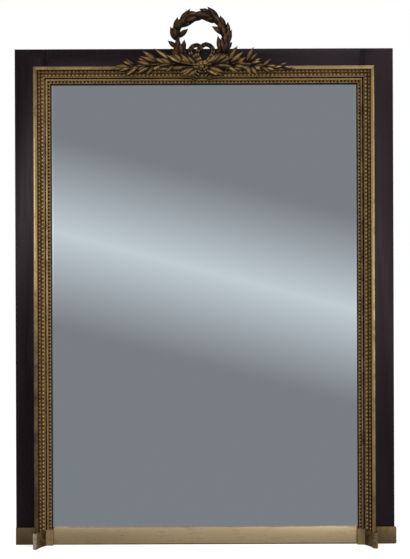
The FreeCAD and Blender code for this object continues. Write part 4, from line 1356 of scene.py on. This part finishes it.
# %% Wreath
WREATH_STEM = 4.8 * MM
STEM_RISE = 3
WREATH_RADIUS_MM = 70.5
WREATH_MIDDLE = (-2.5, 88)
WREATH_STEPS = 16
LEFT_WREATH_SEEN = (
    (180.5, 23.5, 190.6, 8.5, 5, 4),
    (176.5, 31, 177.8, 16.7, 5, 4),
    (177.2, 40, 170.4, 26.4, 4.6, 4),
    (177.8, 38, 173.7, 24.6, 4.6, 8),
    (178, 47, 168, 40.3, 3.7, 4),
    (181, 26.5, 194.6, 21.2, 4, 3),
    (178.8, 37, 188.6, 28.4, 4.1, 4),
    (184, 51, 184.6, 39.3, 4.2, 5),
    (178.2, 31, 181.8, 17.5, 5.2, 9),
    (179, 27.5, 188, 16, 5.6, 10),
    (185.5, 16.5, 199.5, 13, 5.6, 6),
    (184, 21.8, 199, 17, 5.6, 8),
    (181, 55, 175, 45.5, 5.4, 6),
    (181.5, 55.5, 180.5, 43.5, 5.4, 9),
)
LEFT_WREATH_FILL = (
    (-78, 82, -84, 117, 17, 10),
    (-71, 40, -78, 84, 15, 7),
    (-66, 32, -88, 66, 17, 4),
    (-27, 147, 13, 159, 18, 11),
    (-59, 135, -19, 165, 17, 5),
    (-46, 139, -3, 150, 17, 7),
    (-30, 141, 12, 152, 17, 4),
    (-66, 26, -95, 52, 16, 5),
)
RIGHT_WREATH_SEEN = (
    (219.5, 21, 208, 6.7, 5.6, 5),
    (224.5, 30, 220.7, 15.2, 5, 4),
    (227.5, 36, 228.4, 21.9, 4.6, 4),
    (227, 45, 232.1, 29.6, 4.2, 4),
    (225.5, 49.5, 232.4, 41.8, 4.4, 4),
    (222.5, 34, 212.5, 25.6, 4.6, 3),
    (220, 51, 218.2, 35.3, 4.6, 5),
    (210.5, 16, 200.2, 8.6, 5.6, 7),
    (213, 17.8, 198.5, 15, 6.4, 9),
    (221.5, 26, 211.5, 14.5, 6, 10),
    (225, 33.5, 217, 19.5, 5.8, 9),
    (225.8, 38.5, 222.8, 24, 5.8, 11),
    (225.5, 45, 226, 31, 5.2, 9),
    (223.5, 51.5, 222, 38, 5.2, 8),
    (224.5, 53.5, 227, 40, 5.2, 10),
)
RIGHT_WREATH_FILL = (
    (33, 147, -9, 165, 18, 11),
    (45, 135, 7, 147, 17, 6),
    (75, 75, 87, 115, 16, 8),
    (40, 137, -4, 150, 17, 5),
    (24, 142, -20, 151, 16, 6),
)
# A stem's arc goes from its first angle to its last, in degrees.
for side, first, last, seen, fill in (
    ("left", 225, 88, LEFT_WREATH_SEEN, LEFT_WREATH_FILL),
    ("right", 315, 452, RIGHT_WREATH_SEEN, RIGHT_WREATH_FILL),
):
    turns = [math.radians(first + (last - first) * k / WREATH_STEPS) for k in range(WREATH_STEPS + 1)]
    middle_x, middle_z = WREATH_MIDDLE
    ring = [(WREATH_RADIUS_MM * math.cos(a), WREATH_RADIUS_MM * math.sin(a)) for a in turns]
    path = [from_knot(middle_x + across, middle_z + up, STEM_RISE) for across, up in ring]
    leaves = [read_off(*leaf) for leaf in seen] + list(fill)
    branch(f"wreath_branch_{side}", path, WREATH_STEM, leaves, wreath_gilding)

# %% [markdown]
# The sprays are thinner. Their stems run out along the top rail through a few places, and their
# leaves have the same six numbers. One spray could be the other in a mirror, but the carver cut
# each by eye, so their leaves differ.

# %% Sprays
SPRAY_STEM = 3.4 * MM
# Stem of a spray in millimetres from the knot: across and up.
SPRAY_PATH = ((8, 0), (56, 8), (126, 5), (210, -2), (270, -8))
LEFT_SPRAY_SEEN = (
    (128.5, 67.5, 110.2, 69.4, 3.3, 3),
    (131.5, 66, 114.4, 64.9, 3.7, 4),
    (136, 64, 125.5, 57.7, 3.7, 3),
    (133, 65, 122.9, 60.5, 3.5, 6),
    (158.5, 61.5, 142.4, 49.9, 4.5, 4),
    (157, 63, 139.8, 56.4, 4.2, 7),
    (152, 64.7, 137, 61, 4, 9),
    (172, 62, 154.7, 48.3, 4.7, 4),
    (174, 64, 160, 57.5, 4, 9),
    (186, 62.5, 171.5, 51.5, 4.7, 6),
    (181, 63.5, 166, 54.5, 4.2, 9),
    (193, 64, 178.5, 52, 4.6, 8),
    (131.5, 67.5, 119.3, 70.9, 3.5, 6),
    (138.5, 66.5, 124.8, 76.6, 3.7, 4),
    (151, 66.5, 135.9, 74, 4.2, 6),
    (156.5, 65.5, 146, 77.9, 4.3, 4),
    (173, 65, 157, 66, 3.8, 6),
    (175.5, 65.5, 166, 72.5, 4, 5),
    (189, 67, 172.5, 70, 3.8, 8),
    (196, 67.5, 181.4, 78, 4, 5),
    (199, 68, 186.5, 77.5, 4, 8),
    (194, 66.8, 178.5, 73.5, 3.8, 10),
    (198, 64, 186, 53.5, 4.4, 4),
)
LEFT_SPRAY_FILL = (
    (-60, 4, -100, 34, 15, 3),
    (-40, 4, -84, 40, 15, 3),
    (-20, 3, -60, 38, 15, 4),
    (-110, 4, -150, 24, 14, 3),
    (-160, 2, -200, 24, 13, 3),
    (-120, -2, -165, -18, 13, 3),
    (-60, -4, -100, -14, 13, 3),
    (-190, -2, -232, -14, 12, 3),
)
RIGHT_SPRAY_SEEN = (
    (226.5, 60.5, 237.7, 46, 4.5, 4),
    (230, 61.5, 244.2, 51.5, 4.4, 5),
    (228.5, 63.5, 241.8, 57.5, 4.2, 8),
    (247, 62, 253.7, 47, 4.7, 4),
    (249.5, 63, 257.9, 52.8, 4.2, 6),
    (250.5, 64, 261.2, 61.5, 3.8, 8),
    (262, 67.5, 271.9, 58.4, 3.5, 4),
    (279.5, 67, 287.2, 62.6, 3, 4),
    (280.5, 67.3, 294.7, 68.4, 3.4, 4),
    (272.5, 67.6, 284, 66, 3, 6),
    (260, 67, 272.2, 74, 4.2, 5),
    (264.5, 67.8, 276, 70.5, 3.4, 7),
    (246.5, 64.5, 252, 77.9, 5, 4),
    (250.5, 65.5, 257.9, 75.3, 4.2, 6),
    (226.5, 66, 237.7, 72.7, 4.2, 5),
    (232.5, 64.6, 246, 66.3, 3.6, 7),
    (208, 66.2, 224.7, 72.7, 4.3, 9),
    (206, 69, 224.3, 79.5, 4.3, 5),
    (205.5, 69.5, 219, 77.5, 4, 8),
    (211.5, 64.5, 222, 52.5, 4.4, 8),
    (214, 64.5, 228.5, 54, 4.4, 10),
    (217.5, 65, 234, 57, 4.2, 11),
    (214, 66, 233, 66.8, 3.8, 11),
)
RIGHT_SPRAY_FILL = (
    (52, 4, 92, 36, 15, 3),
    (34, 3, 74, 40, 15, 3),
    (16, 3, 50, 38, 14, 4),
    (100, 4, 140, 26, 14, 3),
    (150, 2, 186, 22, 13, 3),
    (112, -2, 150, -16, 13, 3),
    (52, -4, 96, -14, 13, 3),
    (200, -6, 236, -4, 11, 3),
)
for side, way, seen, fill in (
    ("left", -1, LEFT_SPRAY_SEEN, LEFT_SPRAY_FILL),
    ("right", 1, RIGHT_SPRAY_SEEN, RIGHT_SPRAY_FILL),
):
    path = [from_knot(way * across, up, STEM_RISE) for across, up in SPRAY_PATH]
    leaves = [read_off(*leaf) for leaf in seen] + list(fill)
    branch(f"laurel_spray_{side}", path, SPRAY_STEM, leaves, carved_gilding)
for model in leaf_models:
    bpy.data.objects.remove(model)

# %% [markdown]
# ## Ribbon
# A carved ribbon ties the branches: two loops, a knot and two tails that hang over the moulding.
# It is a low band with a shallow groove down its middle, gathered into small pleats all along. A
# curve with a profile could make it, but a skin over the section lets every pleat have its own
# width, height and wear. Its path runs smoothly through a few stops.

# %% Ribbon helpers
# Section: share of the half width across, the rise in millimetres, the wear.
RIBBON_SECTION = (
    (-1, 0, 0.02),
    (-0.92, 2, 0.1),
    (-0.6, 3.4, 0.9),
    (-0.2, 2.8, 0.5),
    (0.2, 2.8, 0.5),
    (0.6, 3.4, 0.9),
    (0.92, 2, 0.1),
    (1, 0, 0.02),
)
# Width and rise between two pleats, as shares of those on a pleat.
FLAT_WIDTH_SHARE, FLAT_RISE_SHARE = 0.92, 0.55
BOW_HEIGHT = 74 * MM


def flowing(stops, steps, closed=False):
    """Smooth path through the stops."""
    count = len(stops)
    runs = count if closed else count - 1
    path = []
    for k in range(steps if closed else steps + 1):
        run = min(int(k / steps * runs), runs - 1)
        f = k / steps * runs - run
        near = [run + n for n in (-1, 0, 1, 2)]
        a, b, c, d = (stops[n % count if closed else min(max(n, 0), count - 1)] for n in near)
        straight = 2 * b + (c - a) * f
        bend = (2 * a - 5 * b + 4 * c - d) * f**2 + (3 * b - a - 3 * c + d) * f**3
        path.append(0.5 * (straight + bend))
    return path


def ribbon(carving, path, half_width, pleats, clean, shade_upward=0.0, closed=False):
    """Skin the section along a path in pleats, darker between them down to a clean share, with painted
    shade growing upwards from the knot.
    """
    rings, wear_and_shade = [], []
    for k, spot in enumerate(path):
        before = path[k - 1] if closed or k else path[0]
        after = path[(k + 1) % len(path)] if closed or k + 1 < len(path) else path[-1]
        along = (after - before).normalized()
        wide = along.cross(FORWARD).normalized()
        lift = wide.cross(along)
        fold = 0.5 + 0.5 * math.sin(2 * math.pi * pleats * k / len(path))
        half = half_width * (FLAT_WIDTH_SHARE + (1 - FLAT_WIDTH_SHARE) * fold)
        full = (FLAT_RISE_SHARE + (1 - FLAT_RISE_SHARE) * fold) * MM
        rings.append([spot + wide * (half * x) + lift * (rise * full) for x, rise, mark in RIBBON_SECTION])
        # Painted shade grows upwards from the knot.
        rubbed = (clean + (1 - clean) * fold) * (1 - shade_upward * (spot.z - KNOT.z) / BOW_HEIGHT)
        wear_and_shade.append([mark * rubbed for x, rise, mark in RIBBON_SECTION])
    carving.skin(rings, wear_and_shade, closed)


print("ribbon section of", len(RIBBON_SECTION), "points")

# %% Bow and tails
# Loops in millimetres from the knot: across, up and forward. They cross above the knot.
LOOPS = (
    (
        (-6, 6, 4),
        (-16, 18, 5),
        (-19, 30, 4),
        (-13, 43, 3),
        (-5, 54, 3),
        (-12, 61, 4),
        (-26, 59, 4),
        (-36, 48, 4),
        (-34, 34, 4),
        (-25, 20, 4),
        (-13, 8, 4),
    ),
    (
        (-1, 6, 7),
        (-7, 16, 8),
        (-14, 30, 8),
        (-12, 43, 9),
        (-2, 54, 9),
        (8, 62, 7),
        (16, 63, 6),
        (27, 58, 6),
        (35, 47, 6),
        (33, 35, 6),
        (26, 22, 6),
        (14, 9, 6),
    ),
)
LOOP_STEPS = 90
LOOP_HALF_WIDTH, TAIL_HALF_WIDTH = 7.4 * MM, 7 * MM
bow = Carving()
for stops in LOOPS:
    path = flowing([from_knot(*stop) for stop in stops], LOOP_STEPS, closed=True)
    ribbon(bow, path, LOOP_HALF_WIDTH, pleats=13, clean=0.4, shade_upward=0.7, closed=True)
fit(show("ribbon_bow_carved", bow.mesh("ribbon_bow"), carved_gilding), "gilt_wood", "ribbon_bow")

# Tails in millimetres from the knot: across, up and forward.
TAILS = {
    "left": ((-3, -6, 3), (-7, -14, 3), (-14, -26, -4), (-22, -36, -18), (-25, -42, -28)),
    "right": ((6, -6, 3), (11, -14, 3), (20, -25, -4), (25, -35, -18), (26, -42, -28)),
}
TAIL_STEPS = 56
for name, stops in TAILS.items():
    tail = Carving()
    path = flowing([from_knot(*stop) for stop in stops], TAIL_STEPS)
    ribbon(tail, path, TAIL_HALF_WIDTH, pleats=7, clean=0.1)
    solid = f"ribbon_tail_{name}"
    fit(show(f"{solid}_carved", tail.mesh(solid), carved_gilding), "gilt_wood", solid)

print("bow of", len(LOOPS), "loops and", len(TAILS), "tails")

# %% [markdown]
# The knot is a short roll of ribbon, drawn in at both ends and gathered into folds. A ball would
# be simpler, but it would look like a berry.

# %% Knot
KNOT_HALF = Vector((9.6, 13, 7.4)) * MM
KNOT_MIDDLE = from_knot(-1, -6, 0)
KNOT_RINGS = 14
KNOT_SIDES = 20
KNOT_FOLDS = 6
ENDS_FROM, KNOT_WEAR, KNOT_END_WEAR = 0.7, 0.5, 0.05
knot = Carving()
rings, wear_and_shade = [], []
for k in range(KNOT_RINGS + 1):
    along = -1 + 2 * k / KNOT_RINGS
    folds = 1 + 0.06 * math.cos(KNOT_FOLDS * math.pi * along)
    swell = max(1 - abs(along) ** 3 * 0.55, 0.05) * folds
    ring = []
    for i in range(KNOT_SIDES):
        angle = math.pi * i / (KNOT_SIDES - 1)
        out = math.sin(angle) ** 0.7 * swell
        up = math.cos(angle) * swell
        ring.append(KNOT_MIDDLE + Vector((along * KNOT_HALF.x, -out * KNOT_HALF.y, up * KNOT_HALF.z)))
    rings.append(ring)
    rubbed = KNOT_WEAR if abs(along) < ENDS_FROM else KNOT_END_WEAR
    wear_and_shade.append([rubbed * math.sin(math.pi * i / (KNOT_SIDES - 1)) for i in range(KNOT_SIDES)])
knot.skin(rings, wear_and_shade)
fit(show("ribbon_knot_carved", knot.mesh("ribbon_knot"), carved_gilding), "gilt_wood", "ribbon_knot")
print("knot of", len(knot.faces), "faces")

# %% [markdown]
# ## Hangers, screws and nails
# The mirror hangs by two D-shaped rings of forged wire. Each ring's straight side turns in the
# knuckle of its plate, so the ring has its own body and swings. A bent curve could be the wire,
# but a skin round a closed path gives a plain mesh at once.

# %% Plates and rings
RING_RADIUS = 20 * MM
WIRE_RADIUS = 2.4 * MM
RING_STEPS = 24
WIRE_SIDES = 12
RING_CORNER = 3 * WIRE_RADIUS
RING_DROP = 0.8 * WIRE_RADIUS
PLATE_CORNER_MM = 0.8
IRON_WEAR = 0.5
ring_axes = {joint["child"]: Vector(joint["pos_m"]) for joint in frame["joints"]}
for name in ("left", "right"):
    solid = f"hanger_plate_{name}"
    eased(solid, black_iron, "black_iron", PLATE_CORNER_MM)

    solid = f"hanging_ring_{name}"
    axis = ring_axes[solid]
    straight = RING_RADIUS - RING_CORNER
    path = [axis + Vector((straight, 0, 0)), axis - Vector((straight, 0, 0))]
    for k in range(RING_STEPS + 1):
        angle = math.pi * (1 + k / RING_STEPS)
        spot = Vector((math.cos(angle), 0, math.sin(angle))) * RING_RADIUS
        spot.z = min(spot.z, -RING_DROP)
        path.append(axis + spot)
    wire = Carving()
    rings = []
    for k, spot in enumerate(path):
        along = (path[(k + 1) % len(path)] - path[k - 1]).normalized()
        across = along.cross(FORWARD)
        turns = [2 * math.pi * i / WIRE_SIDES for i in range(WIRE_SIDES)]
        rings.append([spot + (across * math.cos(a) + FORWARD * math.sin(a)) * WIRE_RADIUS for a in turns])
    wire.skin(rings, [[IRON_WEAR] * WIRE_SIDES] * len(rings), closed=True)
    fit(show(f"{solid}_forged", wire.mesh(solid), black_iron), "black_iron", solid, body=solid)
print("rings swing about", {k: [round(c, 4) for c in v] for k, v in ring_axes.items()})

# %% [markdown]
# Screws hold the plates and nails the back boards. Their heads could be placed one by one, but one
# tree puts a head on every point of a mesh: a flattened ball, cut by a bar where it has a slot,
# and each turned its own way, as a hand leaves them.

# %% Tree for heads of screws and nails
HEAD_INPUTS = {
    "Places": "Geometry",
    "Radius": "Float",
    "Height": "Float",
    "Slot": "Float",
    "Seed": "Int",
    "Finish": "Material",
}
head_row, given = sown_tree("fixing_heads", HEAD_INPUTS, "Heads")
ball = add(
    head_row, "GeometryNodeMeshUVSphere", {"Segments": 16, "Rings": 8, "Radius": given["Radius"]}
)
flat = add(
    head_row, "ShaderNodeMath", {0: given["Height"], 1: given["Radius"]}, operation="DIVIDE"
).outputs[0]
squash = add(head_row, "ShaderNodeCombineXYZ", {"X": 1, "Y": 1, "Z": flat}).outputs[0]
button = add(
    head_row,
    "GeometryNodeTransform",
    {"Geometry": ball.outputs["Mesh"], "Rotation": (math.radians(-90), 0, 0), "Scale": squash},
)
# The bar reaches past both sides of the head.
long = add(head_row, "ShaderNodeMath", {0: given["Radius"], 1: 3}, operation="MULTIPLY").outputs[0]
slot_size = add(
    head_row, "ShaderNodeCombineXYZ", {"X": long, "Y": given["Height"], "Z": given["Slot"]}
).outputs[0]
groove = add(head_row, "GeometryNodeMeshCube", {"Size": slot_size})
high = add(head_row, "ShaderNodeCombineXYZ", {"Y": given["Height"]}).outputs[0]
groove = add(head_row, "GeometryNodeTransform", {"Geometry": groove.outputs[0], "Translation": high})
slotted = add(
    head_row,
    "GeometryNodeMeshBoolean",
    {"Mesh 1": button.outputs[0], "Mesh 2": groove.outputs[0]},
    operation="DIFFERENCE",
)
spin = add(
    head_row,
    "FunctionNodeRandomValue",
    {0: (0, 0, 0), 1: (0, math.tau, 0), "Seed": given["Seed"]},
    data_type="FLOAT_VECTOR",
).outputs[0]
heads = add(
    head_row,
    "GeometryNodeInstanceOnPoints",
    {"Points": given["Places"], "Instance": slotted.outputs[0], "Rotation": spin},
)
end_tree(head_row, heads.outputs[0], given["Finish"], "Heads")
print("head tree of", len(head_row.nodes), "nodes")

# %% Heads of screws and nails
SCREW_INSET = 8 * MM
PLATE_THICKNESS = 2.5 * MM
NAIL_INSET = 7 * MM
NAIL_SHARES = (0.2, 0.8)
screw_places = []
for name in ("left", "right"):
    low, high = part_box(f"hanger_plate_{name}")
    for x in (low.x + SCREW_INSET, high.x - SCREW_INSET):
        screw_places.append(Vector((x, low.y + PLATE_THICKNESS, (low.z + high.z) / 2)))
nail_places = []
for solid in back_boards:
    low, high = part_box(solid)
    for x in (low.x + NAIL_INSET, high.x - NAIL_INSET):
        for share in NAIL_SHARES:
            nail_places.append(Vector((x, high.y, low.z + (high.z - low.z) * share)))
# Sizes of the heads in millimetres: radius, height and width of the slot.
for name, places, radius, height, slot_width, material, slot in (
    ("hanger_screw_heads", screw_places, 4, 1.4, 0.9, old_steel, "steel"),
    ("back_nail_heads", nail_places, 3.2, 1.2, 0, black_iron, "black_iron"),
):
    mesh = bpy.data.meshes.new(name)
    mesh.from_pydata(places, [], [])
    inputs = {
        "Radius": radius * MM,
        "Height": height * MM,
        "Slot": slot_width * MM,
        "Seed": len(places),
        "Finish": material,
    }
    fit(grown(name, mesh, head_row, inputs), slot)
    print(name, len(places))

# %% [markdown]
# ## Sizes
# The box of what shows, apart from the studio, is worked out. Nothing may grow past the solids
# by more than a few millimetres.

# %% Sizes
low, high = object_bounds()
